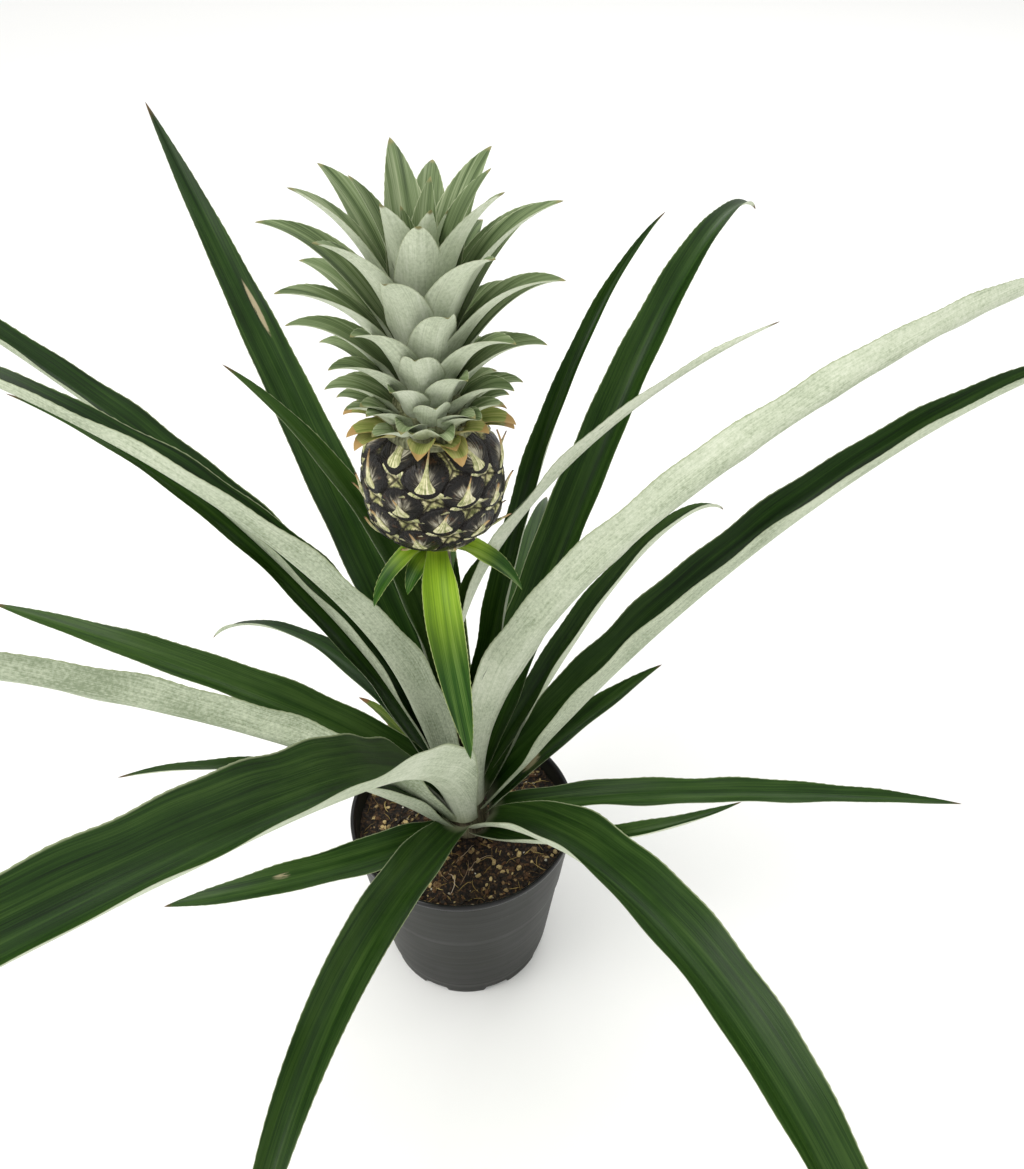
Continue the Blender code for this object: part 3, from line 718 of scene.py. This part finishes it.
def make_crown_axis():
    """The short cone between the fruit and the crown's leaves, with a low ridge under each leaf base."""
    rings = 60
    around = 96
    points = []
    for ring in range(rings + 1):
        height = mix(AXIS_FOOT, CROWN_HEIGHT - 0.004, ring / rings)
        reach = float(np.interp(height, CROWN_TABLE[:, 1], CROWN_TABLE[:, 2])) + 0.0004
        for angle in turns(around):
            ridge = 0.0005 * math.sin(8.0 * angle + height * 1400.0) * math.sin(5.0 * angle - height * 1400.0)
            points.append(on_circle(CROWN_X, reach + ridge, angle, CROWN_BOTTOM + height))
    bottom = (CROWN_X, 0.0, CROWN_BOTTOM + AXIS_FOOT)
    top = (CROWN_X, 0.0, CROWN_BOTTOM + CROWN_HEIGHT - 0.003)
    faces = capped_faces(points, rings + 1, around, bottom, top)
    make = Finish("crown_axis_bark")
    fibre = make.noise(make.place(), (800.0, 800.0, 90.0))
    colour = make.ramp(
        fibre,
        (0.35, (0.070, 0.075, 0.030)),
        (0.52, (0.190, 0.200, 0.100)),
        (0.68, (0.330, 0.340, 0.200)),
    )
    finish = make.finish(colour, 0.6, make.bump(fibre, 0.4, 0.0005))
    piece = add_piece("crown_axis", finish, "crown_green", points, faces)
    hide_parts("crown_stem")


# --- Fruit -------------------------------------------------------------------------------------------------
EYE_TURN = 240.0
EYE_MARGIN = 0.04
EYE_HALF_WIDTH = 0.0092
EYE_HALF_HEIGHT = 0.0068
EYE_BULGE = 0.0024
FRUIT_RINGS = 150
FRUIT_SEGMENTS = 400
FRUIT_LEAST_RADIUS = 0.010
NUMBER_STEP_IN_NOISE = 0.37


def fruit_profile(rise):
    """The barrel's radius at a share of its height."""
    return FRUIT_RADIUS * (1.0 - abs(2.0 * rise - 1.0) ** 3.2) ** 0.42


def eyes():
    """Share of the fruit's height and angle of each eye, up a golden-angle spiral."""
    index = np.arange(EYE_COUNT)
    rise = EYE_MARGIN + (1.0 - 2.0 * EYE_MARGIN) * (index + 0.5) / EYE_COUNT
    return rise, np.radians(EYE_TURN + index * GOLDEN_ANGLE)


def nearest_eyes(rise, turn, body):
    """For points of the barrel: the scaled distance to the nearest eye and to the next one, the place within
    the nearest eye, in its half sizes, and its number."""
    eye_rise, eye_angle = eyes()
    up = (rise[..., None] - eye_rise) * (FRUIT_TOP - FRUIT_BOTTOM)
    around = np.remainder(turn[..., None] - eye_angle + np.pi, 2.0 * np.pi) - np.pi
    around = around * FRUIT_RADIUS * np.clip(body[..., None] / FRUIT_RADIUS, 0.55, 1.0)
    spread = np.hypot(around / EYE_HALF_WIDTH, up / EYE_HALF_HEIGHT * 0.92)
    order = np.sort(spread, -1)
    nearest = np.argmin(spread, -1)[..., None]
    own_around = np.take_along_axis(around, nearest, -1)[..., 0] / EYE_HALF_WIDTH
    own_up = np.take_along_axis(up, nearest, -1)[..., 0] / EYE_HALF_HEIGHT
    return order[..., 0], order[..., 1], own_around, own_up, nearest[..., 0]


def make_fruit():
    """The barrel with its domed eyes, each dented above its scale and rimmed, and clefts between them."""
    z_share = 0.5 - 0.5 * np.cos(np.pi * np.linspace(0.0, 1.0, FRUIT_RINGS + 1))
    angle = np.linspace(0.0, 2.0 * np.pi, FRUIT_SEGMENTS, endpoint=False)
    rise, turn = np.meshgrid(z_share, angle, indexing="ij")
    body = np.maximum(fruit_profile(rise) - EYE_BULGE, FRUIT_LEAST_RADIUS)
    first, second, own_around, own_up, number = nearest_eyes(rise, turn, body)
    cleft = (second - first) / (second + first)
    fade = np.clip(np.minimum(9.0 * rise, 9.0 * (1.0 - rise)), 0.0, 1.0)
    dome = np.sqrt(np.clip(1.0 - (first / 1.25) ** 2, 0.0, 1.0))
    dent = np.exp(-((own_around / 0.35) ** 2 + ((own_up + 0.35) / 0.35) ** 2))
    rim = np.exp(-(((first - 0.86) / 0.10) ** 2))
    relief = dome * (1.0 - 0.30 * dent) + 0.10 * rim
    radius = body + EYE_BULGE * relief * fade * (0.55 + 0.45 * np.clip(cleft / 0.10, 0.0, 1.0))
    height = FRUIT_BOTTOM + rise * (FRUIT_TOP - FRUIT_BOTTOM)
    grid = np.stack((FRUIT_X + radius * np.cos(turn), radius * np.sin(turn), height), -1)
    points = list(grid.reshape(-1, 3))
    bottom = (FRUIT_X, 0.0, FRUIT_BOTTOM)
    top = (FRUIT_X, 0.0, FRUIT_TOP)
    faces = capped_faces(points, FRUIT_RINGS + 1, FRUIT_SEGMENTS, bottom, top)
    eye = np.stack((own_around, own_up, number * NUMBER_STEP_IN_NOISE), -1).reshape(-1, 3)
    skin = np.stack((first, cleft, fade), -1).reshape(-1, 3)
    attributes = {
        "eye": np.vstack((eye, np.zeros((2, 3)))),
        "skin": np.vstack((skin, [[1.5, 0.5, 0.0]] * 2)),
    }
    piece = add_piece("fruit_skin", fruit_finish(), "fruit_skin", points, faces, attributes)
    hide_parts("fruit")


def fruit_finish():
    """Dark glossy eyes with a pale streaked middle and a beaded outline, in cream and lime tissue."""
    make = Finish("fruit_eyes")
    eye = make.attribute("eye")
    around, up = make.parts(eye)[:2]
    spread, cleft = make.parts(make.attribute("skin"))[:2]
    place = make.place()
    grain = make.noise(place, scale=700.0, detail=4.0, roughness=0.65)
    blotch = make.noise(place, scale=190.0, detail=3.0)
    ray_angle = make.math("ARCTAN2", around, make.math("ADD", up, 0.55))
    ray = make.node("CombineXYZ")
    make.put(ray.inputs[0], make.math("MULTIPLY", ray_angle, 5.0))
    make.put(ray.inputs[1], make.math("MULTIPLY", spread, 0.9))
    make.put(ray.inputs[2], make.parts(eye)[2])
    rays = make.noise(ray.outputs[0], scale=1.6, detail=3.0, roughness=0.6)
    shell = make.ramp(
        make.ragged(make.ragged(spread, blotch, 0.5), rays, 1.1),
        (0.06, (0.680, 0.640, 0.520)),
        (0.24, (0.260, 0.240, 0.180)),
        (0.42, (0.036, 0.030, 0.022)),
        (0.58, (0.006, 0.005, 0.004)),
    )
    rust = make.band(make.noise(place, scale=260.0, detail=4.0, roughness=0.7), 0.56, 0.68, 0.0, 0.55)
    shell = make.blend(rust, shell, (0.085, 0.042, 0.020))
    beads = make.cells(place, 1500.0)
    ring = make.math("ABSOLUTE", make.math("SUBTRACT", spread, 0.86))
    ring = make.math("ADD", ring, make.math("MULTIPLY_ADD", beads, 0.10, -0.03))
    shell = make.blend(make.band(ring, 0.04, 0.09, 0.95, 0.0), shell, (0.008, 0.006, 0.005))
    flesh = make.ramp(
        make.weighed(grain, 0.5, blotch, 0.5),
        (0.38, (0.100, 0.110, 0.030)),
        (0.50, (0.400, 0.390, 0.170)),
        (0.62, (0.820, 0.740, 0.460)),
    )
    colour = make.blend(make.band(make.ragged(spread, grain, 0.24), 0.93, 1.03), shell, flesh)
    line = make.band(cleft, 0.01, 0.08, 0.9, 0.0)
    colour = make.blend(line, colour, (0.014, 0.010, 0.007))
    rough = make.math("MULTIPLY_ADD", make.band(spread, 0.8, 1.0), 0.25, 0.30)
    relief = make.bump(grain, 0.5, 0.0006)
    relief = make.bump(rays, 0.6, 0.0016, relief)
    relief = make.bump(make.band(ring, 0.03, 0.10), 0.7, 0.0008, relief)
    return make.finish(colour, rough, relief, Specular_IOR_Level=0.30)


def eye_frame(rise, angle, up_offset):
    """A point on the barrel, with the unit vectors outwards and to the side there."""
    step = 0.01
    rise = min(max(rise + up_offset / (FRUIT_TOP - FRUIT_BOTTOM), 0.02), 0.98)
    slope = (fruit_profile(rise + step) - fruit_profile(rise - step)) / (2.0 * step)
    radial = Vector((math.cos(angle), math.sin(angle), 0.0))
    along = Vector((slope * radial.x, slope * radial.y, FRUIT_TOP - FRUIT_BOTTOM)).normalized()
    side = Vector((-radial.y, radial.x, 0.0))
    outwards = side.cross(along)
    radius = fruit_profile(rise)
    point = Vector((FRUIT_X + radius * radial.x, radius * radial.y, mix(FRUIT_BOTTOM, FRUIT_TOP, rise)))
    return point, outwards, side


SCALE_ROWS = 12
SCALE_COLUMNS = 9
SCALE_FOOT = -0.0068
SCALE_THICKNESS = 0.0005
SCALE_SINK = -0.0008
SCALE_EMERGENCE = 0.0014


def scale_points(rise, angle, draw):
    """Outer and inner points of the scale under an eye, with the place of each across and along the scale."""
    tall = draw.uniform(0.0110, 0.0165)
    wide = draw.uniform(0.0088, 0.0106)
    lean = draw.uniform(-0.30, 0.30)
    lift = draw.uniform(0.0008, 0.0050)
    points = []
    places = []
    for layer in (0.0, -SCALE_THICKNESS):
        for row in range(SCALE_ROWS + 1):
            step = row / SCALE_ROWS
            half = wide * (0.86 * (1.0 - step) ** 4 + 0.14 * (1.0 - step))
            point, outwards, side = eye_frame(rise, angle, SCALE_FOOT + tall * step)
            off = SCALE_SINK + SCALE_EMERGENCE * smooth_step(step * 2.2) + lift * step**2.5
            for column in range(SCALE_COLUMNS):
                across = 2.0 * column / (SCALE_COLUMNS - 1) - 1.0
                drop = 0.0009 * across**2 * (1.0 - 0.4 * step)
                sideways = side * (half * across + lean * 0.01 * step**2)
                points.append(point + sideways + outwards * (off - drop + layer * (1.0 - 0.5 * step)))
                places.append((across * (1.0 - step), step))
    return points, places


def sheet_faces(first, rows, columns):
    """Faces of a closed sheet: a grid of outer points, then one of inner points, and the rim between them."""
    size = (rows + 1) * columns
    faces = []
    for row in range(rows):
        for column in range(columns - 1):
            outer = first + row * columns + column
            faces.append((outer, outer + 1, outer + 1 + columns, outer + columns))
            inner = outer + size
            faces.append((inner, inner + columns, inner + 1 + columns, inner + 1))
    rim = [first + column for column in range(columns)]
    rim += [first + row * columns + columns - 1 for row in range(1, rows + 1)]
    rim += [first + rows * columns + column for column in range(columns - 2, -1, -1)]
    rim += [first + row * columns for row in range(rows - 1, 0, -1)]
    for here, after in zip(rim, rim[1:] + rim[:1]):
        faces.append((after, here, here + size, after + size))
    return faces


def scale_finish():
    """Streaked cream and lime, drying to brown at the point."""
    make = Finish("fruit_scales")
    scale = make.attribute("eye")
    step = make.parts(scale)[1]
    streak = make.noise(scale, (9.0, 1.2, 7.0))
    grain = make.noise(make.place(), scale=600.0, detail=4.0)
    colour = make.ramp(
        make.weighed(streak, 0.6, grain, 0.4),
        (0.36, (0.170, 0.210, 0.060)),
        (0.48, (0.500, 0.500, 0.240)),
        (0.60, (0.880, 0.820, 0.560)),
    )
    dry = make.ragged(step, grain, 0.6)
    colour = make.blend(make.band(dry, 0.62, 0.85), colour, (0.560, 0.370, 0.170))
    colour = make.blend(make.band(dry, 0.88, 1.02), colour, (0.110, 0.055, 0.028))
    colour = make.blend(make.band(step, 0.0, 0.10, 0.6, 0.0), colour, (0.060, 0.050, 0.025))
    return make.finish(colour, 0.5, make.bump(streak, 0.3, 0.0004))


def make_fruit_scales():
    """Under each eye a small pointed scale lifts its tip over the eye as a spine."""
    draw = random.Random(7)
    points = []
    faces = []
    shade = []
    for number, (rise, angle) in enumerate(zip(*eyes())):
        faces += sheet_faces(len(points), SCALE_ROWS, SCALE_COLUMNS)
        scale, places = scale_points(rise, angle, draw)
        points += scale
        shade += [(*place, number * NUMBER_STEP_IN_NOISE) for place in places]
    add_piece("fruit_scales", scale_finish(), "fruit_skin", points, faces, {"eye": shade})


# --- Stem --------------------------------------------------------------------------------------------------
STALK_TOP = FRUIT_BOTTOM + 0.0005
RING_SPACING = 0.019
STALK_SWELL = 0.016


def make_stem():
    """The stout foot and slim stalk, with a shallow ring where each old scale leaf was."""
    rings = 220
    around = 40
    points = []
    for ring in range(rings + 1):
        height = mix(STEM_FOOT, STALK_TOP, ring / rings)
        node = 0.00035 * math.exp(-(((height / RING_SPACING) % 1.0 - 0.5) / 0.06) ** 2)
        swell = 0.0016 * float(smooth_step((height - STALK_TOP + STALK_SWELL) / STALK_SWELL))
        for step, angle in enumerate(turns(around)):
            radius = float(stem_radius(height)) + node + swell
            roughness = noise.noise(Vector((step * 0.3, ring * 0.05, 2.0)))
            radius += 0.00012 * math.sin(9.0 * angle) + 0.0002 * roughness
            points.append(on_circle(stem_x(height), radius, angle, height))
    bottom = (STEM_X, 0.0, STEM_FOOT)
    faces = capped_faces(points, rings + 1, around, bottom, (FRUIT_X, 0.0, STALK_TOP))
    make = Finish("stalk_bark")
    place = make.place()
    fibre = make.noise(place, (900.0, 900.0, 40.0))
    patch = make.noise(place, scale=120.0, detail=4.0)
    colour = make.ramp(
        make.weighed(fibre, 0.5, patch, 0.5),
        (0.35, (0.050, 0.038, 0.024)),
        (0.50, (0.160, 0.140, 0.085)),
        (0.65, (0.280, 0.290, 0.180)),
    )
    finish = make.finish(colour, 0.6, make.bump(fibre, 0.35, 0.0005))
    piece = add_piece("stalk", finish, "stem_bark", points, faces)
    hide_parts("stem_and_stalk")


# --- Pot and soil ------------------------------------------------------------------------------------------
def pot_outer_radius(height):
    return mix(POT_BASE_RADIUS, POT_RIM_RADIUS - 0.0010, height / POT_HEIGHT)


def banded_wall(low, high, count, offset, wave, beat):
    """Points up the pot's wall, with the faint waves left by moulding."""
    points = []
    for index in range(count):
        z = mix(low, high, index / (count - 1))
        points.append((pot_outer_radius(z) + offset + wave * math.sin(index * beat), z))
    return points


def pot_profile():
    """Radius and height from under the foot, up the outside, over the lip and down the inside."""
    neck = POT_HEIGHT - POT_LIP_HEIGHT
    under = [(0.0385, POT_UNDERSIDE), (0.0392, 0.0003), (0.0396, 0.0)]
    foot = [(POT_BASE_RADIUS - 0.0009, 0.0), (POT_BASE_RADIUS - POT_LEDGE, 0.0004)]
    foot += [(pot_outer_radius(z) - POT_LEDGE, z) for z in (0.003, 0.006, 0.0095)]
    foot += [(pot_outer_radius(z), z) for z in (0.0107, 0.012)]
    ledge = [(pot_outer_radius(0.0660), 0.0660), (pot_outer_radius(0.0692) + POT_LEDGE, 0.0692)]
    lip = [
        (pot_outer_radius(neck) + POT_LEDGE, neck - 0.0002),
        (POT_RIM_RADIUS - 0.0003, neck + 0.0003),
        (POT_RIM_RADIUS, neck + 0.0009),
        (POT_RIM_RADIUS, POT_HEIGHT - 0.0010),
        (POT_RIM_RADIUS - 0.0003, POT_HEIGHT - 0.0003),
        (POT_RIM_RADIUS - 0.0009, POT_HEIGHT),
        (POT_RIM_RADIUS - 0.0017, POT_HEIGHT - 0.0002),
        (POT_RIM_RADIUS - 0.0022, POT_HEIGHT - 0.0009),
    ]
    return [
        *under,
        *foot,
        *banded_wall(0.014, 0.064, 19, 0.0, 0.00007, 1.9),
        *ledge,
        *banded_wall(0.0710, neck - 0.0012, 13, POT_LEDGE, 0.00006, 2.3),
        *lip,
        *((pot_outer_radius(z) - POT_WALL, z) for z in (neck, 0.095, 0.080, 0.040, POT_FLOOR)),
    ]


def pot_finish():
    """Charcoal plastic with faint bands and scuffs, and a darker, smoother lip."""
    make = Finish("pot_moulded_plastic")
    place = make.place()
    bands = make.noise(place, (9.0, 9.0, 320.0))
    cloud = make.noise(place, scale=34.0, detail=4.0)
    grit = make.noise(place, scale=1600.0, detail=2.0)
    scuff = make.noise(place, (60.0, 60.0, 420.0), detail=5.0, roughness=0.75)
    colour = make.ramp(
        make.weighed(bands, 0.45, cloud, 0.55),
        (0.34, (0.006, 0.007, 0.005)),
        (0.52, (0.010, 0.011, 0.008)),
        (0.68, (0.017, 0.018, 0.014)),
    )
    colour = make.blend(make.band(scuff, 0.66, 0.74, 0.0, 0.5), colour, (0.110, 0.110, 0.105))
    neck = POT_HEIGHT - POT_LIP_HEIGHT
    lip_mask = make.band(make.parts(place)[2], neck, neck + 0.0006)
    colour = make.blend(lip_mask, colour, (0.006, 0.006, 0.007))
    rough = make.math("MULTIPLY_ADD", cloud, 0.25, 0.36)
    rough = make.math("MULTIPLY_ADD", lip_mask, -0.18, rough)
    relief = make.bump(bands, 0.25, 0.0006)
    relief = make.bump(grit, 0.10, 0.0002, relief)
    return make.finish(colour, rough, relief, Specular_IOR_Level=0.26)


def make_pot():
    """The pot's wall turned from a fine profile, with drain notches cut up into its foot."""
    around = 192
    sector = 2.0 * math.pi / DRAIN_NOTCHES
    profile = pot_profile()
    points = []
    for number, (radius, height) in enumerate(profile):
        for angle in turns(around):
            off = abs((angle % sector) - 0.5 * sector) * POT_BASE_RADIUS
            notched = number > 0 and height < NOTCH_HEIGHT and off < NOTCH_HALF_WIDTH
            points.append(on_circle(0.0, radius, angle, NOTCH_HEIGHT if notched else height))
    underside = (0.0, 0.0, POT_UNDERSIDE)
    faces = capped_faces(points, len(profile), around, underside, (0.0, 0.0, POT_FLOOR))
    piece = add_piece("pot_wall", pot_finish(), "pot_plastic", points, faces, sharp=38.0)
    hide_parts("pot")


def soil_top(x, y):
    """Height of the soil's rough surface."""
    place = Vector((x, y, 0.0))
    lumps = 0.0016 * noise.noise(place * 75.0) + 0.0010 * noise.noise(place * 210.0 + Vector((5, 3, 1)))
    crumbs = 0.0006 * noise.noise(place * 600.0 + Vector((1, 9, 4)))
    return SOIL_LEVEL + lumps + crumbs


def make_soil():
    """A disc of rough soil, carried down to a flat foot hidden in the pot."""
    rings = 90
    around = 260
    play = POT_WALL + 0.0002
    rim = pot_outer_radius(SOIL_LEVEL) - play
    points = []
    for ring in range(1, rings + 1):
        for angle in turns(around):
            x, y, _ = on_circle(0.0, rim * ring / rings, angle, 0.0)
            points.append((x, y, soil_top(x, y)))
    foot = pot_outer_radius(SOIL_FOOT) - play
    points += [on_circle(0.0, foot, angle, SOIL_FOOT) for angle in turns(around)]
    middle = (0.0, 0.0, soil_top(0.0, 0.0))
    faces = capped_faces(points, rings + 1, around, middle, (0.0, 0.0, SOIL_FOOT))
    faces = [tuple(reversed(face)) for face in faces]
    make = Finish("peat_crumbs")
    place = make.place()
    tone = make.noise(place, scale=480.0, detail=5.0, roughness=0.7)
    colour = make.ramp(
        tone,
        (0.38, (0.002, 0.001, 0.001)),
        (0.50, (0.012, 0.006, 0.003)),
        (0.60, (0.070, 0.034, 0.014)),
        (0.72, (0.300, 0.190, 0.070)),
    )
    relief = make.bump(tone, 0.9, 0.0014)
    relief = make.bump(make.cells(place, 620.0), 0.6, 0.0010, relief)
    finish = make.finish(colour, 0.88, relief)
    piece = add_piece("soil_surface", finish, "peat", points, faces, sharp=80.0)
    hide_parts("soil")


LITTER_RADIUS = 0.0535
STRAND_REACH = 0.0545
STRAND_STEPS = 10
STRAND_LEAST_POINTS = 4
STRAND_CURL = 150.0


def litter_finish(name, colours, rough):
    """Small things that differ from one to the next by their tint."""
    make = Finish(name)
    tint = make.parts(make.attribute("tint"))[0]
    grain = make.noise(make.place(), scale=1500.0)
    value = make.weighed(grain, 0.35, tint, 0.75)
    return make.finish(make.ramp(value, *colours), rough, make.bump(grain, 0.5, 0.0004))


def litter_spot(draw):
    """A random spot on the soil, clear of the stem."""
    while True:
        radius = LITTER_RADIUS * math.sqrt(draw.uniform(0.04, 1.0))
        x, y, _ = on_circle(0.0, radius, draw.uniform(0.0, 2.0 * math.pi), 0.0)
        if math.hypot(x - STEM_X, y) > CAUDEX_RADIUS + 0.002:
            return x, y


def tube(path, radius, sides=5):
    """Points and faces of a thin round strand along a path."""
    points = []
    count = len(path)
    for number, point in enumerate(path):
        ahead = path[min(number + 1, count - 1)] - path[max(number - 1, 0)]
        ahead.normalize()
        side = ahead.cross(Vector((0.0, 0.0, 1.0)))
        side = side.normalized() if side.length > 1e-6 else Vector((1.0, 0.0, 0.0))
        up = side.cross(ahead)
        taper = radius * (0.35 + 0.65 * math.sin(math.pi * (number + 0.5) / count))
        for angle in turns(sides):
            points.append(point + (side * math.cos(angle) + up * math.sin(angle)) * taper)
    faces = ring_faces(count, sides)
    faces.append(tuple(range(sides)))
    faces.append(tuple(reversed(range((count - 1) * sides, count * sides))))
    return points, [tuple(reversed(face)) for face in faces]


def strand_path(draw, length, radius, lift):
    """A loose curl on the soil, as far as it stays inside the pot."""
    x, y = litter_spot(draw)
    heading = draw.uniform(0.0, 2.0 * math.pi)
    curl = draw.uniform(-1.0, 1.0) * STRAND_CURL
    size = draw.uniform(*length)
    path = []
    for step in range(STRAND_STEPS + 1):
        if math.hypot(x, y) > STRAND_REACH:
            break
        rise = lift * math.sin(math.pi * step / STRAND_STEPS) + radius * 0.6
        path.append(Vector((x, y, soil_top(x, y) + rise)))
        heading += curl * size / STRAND_STEPS
        x += math.cos(heading) * size / STRAND_STEPS
        y += math.sin(heading) * size / STRAND_STEPS
    return path


def make_strands(name, finish, count, length, radius, lift, seed):
    """Fibres or fine roots lying on the soil."""
    draw = random.Random(seed)
    points = []
    faces = []
    tints = []
    made = 0
    while made < count:
        path = strand_path(draw, length, radius, lift)
        if len(path) < STRAND_LEAST_POINTS:
            continue
        strand, strand_faces = tube(path, radius * draw.uniform(0.6, 1.3))
        first = len(points)
        points += strand
        faces += [tuple(first + corner for corner in face) for face in strand_faces]
        tints += [(draw.random(), 0.0, 0.0)] * len(strand)
        made += 1
    add_piece(name, finish, "peat", points, faces, {"tint": tints}, sharp=70.0)


# A chip before it is stretched and jittered: its lower and its upper corners, and its faces.
LUMP = (
    (-1.0, -0.7, -0.6), (0.1, -1.0, -0.7), (1.0, -0.6, -0.5),
    (0.9, 0.6, -0.6), (0.0, 1.0, -0.7), (-0.9, 0.5, -0.5),
    (-0.7, -0.5, 0.6), (0.0, -0.8, 0.8), (0.8, -0.4, 0.5),
    (0.6, 0.5, 0.7), (-0.1, 0.7, 0.6), (-0.7, 0.3, 0.8),
)
LUMP_FACES = (
    (5, 4, 3, 2, 1, 0),
    (6, 7, 8, 9, 10, 11),
    *((side, (side + 1) % 6, (side + 1) % 6 + 6, side + 6) for side in range(6)),
)


def make_lumps(name, finish, count, size, flatness, seed, spots=()):
    """Angular chips or grains strewn on the soil; spots give the first of them a set place and size."""
    draw = random.Random(seed)
    points = []
    faces = []
    tints = []
    for number in range(count):
        x, y = litter_spot(draw)
        scale = draw.uniform(*size)
        if number < len(spots):
            x, y, scale = spots[number]
        turn = Matrix.Rotation(draw.uniform(0.0, 2.0 * math.pi), 3, "Z")
        tilt = Matrix.Rotation(draw.uniform(-0.5, 0.5), 3, "X")
        stretch = Vector((1.0, draw.uniform(0.5, 0.9), flatness * draw.uniform(0.6, 1.2)))
        middle = Vector((x, y, soil_top(x, y) + 0.25 * scale * stretch.z))
        first = len(points)
        for corner in LUMP:
            jitter = Vector([draw.uniform(0.72, 1.2) for _ in range(3)])
            shaped = Vector(corner) * 0.5 * scale
            shaped = Vector([a * b * c for a, b, c in zip(shaped, stretch, jitter)])
            points.append(middle + turn @ (tilt @ shaped))
        faces += [tuple(first + corner for corner in face) for face in LUMP_FACES]
        tints += [(draw.random(), 0.0, 0.0)] * len(LUMP)
    add_piece(name, finish, "peat", points, faces, {"tint": tints}, sharp=30.0)


def make_litter():
    bark = litter_finish(
        "bark_chips",
        ((0.30, (0.010, 0.005, 0.002)), (0.62, (0.110, 0.050, 0.018)), (0.98, (0.680, 0.520, 0.240))),
        0.75,
    )
    straw = litter_finish(
        "coir_fibres",
        ((0.20, (0.070, 0.036, 0.012)), (0.60, (0.260, 0.170, 0.050)), (0.95, (0.560, 0.430, 0.160))),
        0.7,
    )
    root = litter_finish("fine_roots", ((0.30, (0.350, 0.230, 0.140)), (0.80, (0.620, 0.500, 0.380))), 0.65)
    white = litter_finish("perlite", ((0.30, (0.420, 0.360, 0.260)), (0.80, (0.780, 0.740, 0.640))), 0.85)
    large_chips = ((-0.021, -0.044, 0.0090), (-0.012, -0.040, 0.0060), (0.006, -0.046, 0.0055))
    make_lumps("soil_bark_chips", bark, 640, (0.0010, 0.0040), flatness=0.55, seed=11, spots=large_chips)
    make_strands("soil_coir_fibres", straw, 210, (0.003, 0.010), radius=0.00020, lift=0.0005, seed=12)
    make_strands("soil_fine_roots", root, 16, (0.012, 0.024), radius=0.00018, lift=0.0020, seed=13)
    make_lumps("soil_perlite", white, 60, (0.0008, 0.0018), flatness=0.8, seed=14)


# --- Stage -------------------------------------------------------------------------------------------------
CAMERA_PLACE = Vector((0.027, -0.348, 0.578))
CAMERA_PITCH = 41.3
CAMERA_ROLL = -0.2
CAMERA_LENS = 32.64
SENSOR_WIDTH = 36.0
FLOOR_HALF_SIZE = 60.0
FLOOR_COLOUR = (0.90, 0.90, 0.895)
SKY_COLOUR = (1.0, 1.0, 0.985, 1.0)
SKY_STRENGTH = 0.98
LIGHTS_AIM = Vector((0.0, 0.0, 0.2))


def soft_light(name, place, size, power, colour=(1.0, 1.0, 1.0)):
    data = bpy.data.lights.new(name, "AREA")
    data.shape = "DISK"
    data.size = size
    data.energy = power
    data.color = colour
    lamp = add_object(name, data)
    lamp.location = place
    lamp.rotation_euler = (LIGHTS_AIM - Vector(place)).to_track_quat("-Z", "Y").to_euler()


def make_stage():
    """A pale floor, a soft sky, a broad key light with a fainter one behind, and the camera."""
    mesh = bpy.data.meshes.new("floor")
    signs = ((-1, -1), (1, -1), (1, 1), (-1, 1))
    corners = [(FLOOR_HALF_SIZE * x, FLOOR_HALF_SIZE * y, 0.0) for x, y in signs]
    mesh.from_pydata(corners, [], [(0, 1, 2, 3)])
    floor = add_object("floor", mesh)
    mesh.materials.append(Finish("floor_paper").finish(FLOOR_COLOUR, 0.9))

    world = bpy.data.worlds.new("studio")
    world.use_nodes = True
    sky = world.node_tree.nodes["Background"]
    sky.inputs["Color"].default_value = SKY_COLOUR
    sky.inputs["Strength"].default_value = SKY_STRENGTH
    bpy.context.scene.world = world

    soft_light("key", (-0.9, -0.5, 1.7), size=1.1, power=17.0, colour=(1.0, 0.985, 0.96))
    soft_light("back", (0.6, 1.4, 1.5), size=1.2, power=8.0)

    data = bpy.data.cameras.new("camera")
    data.lens = CAMERA_LENS
    data.sensor_width = SENSOR_WIDTH
    camera = add_object("camera", data)
    tilt = Matrix.Rotation(math.radians(90.0 - CAMERA_PITCH), 4, "X")
    roll = Matrix.Rotation(math.radians(CAMERA_ROLL), 4, "Z")
    camera.matrix_world = Matrix.Translation(CAMERA_PLACE) @ tilt @ roll
    bpy.context.scene.camera = camera
    bpy.context.scene.view_settings.view_transform = "Standard"


make_stage()
make_pot()
make_soil()
make_litter()
make_stem()
make_foliage()
make_bracts()
make_fruit()
make_fruit_scales()
silver_finish = blade_finish("crown_silver_fibres", SILVER, roughness=0.42, tip_start=0.95)
yellow_finish = blade_finish("crown_yellowed_fibres", YELLOWED, roughness=0.42, tip_start=0.80)
make_crown(silver_finish, yellow_finish)
make_crown_collar(silver_finish, yellow_finish)
make_crown_axis()
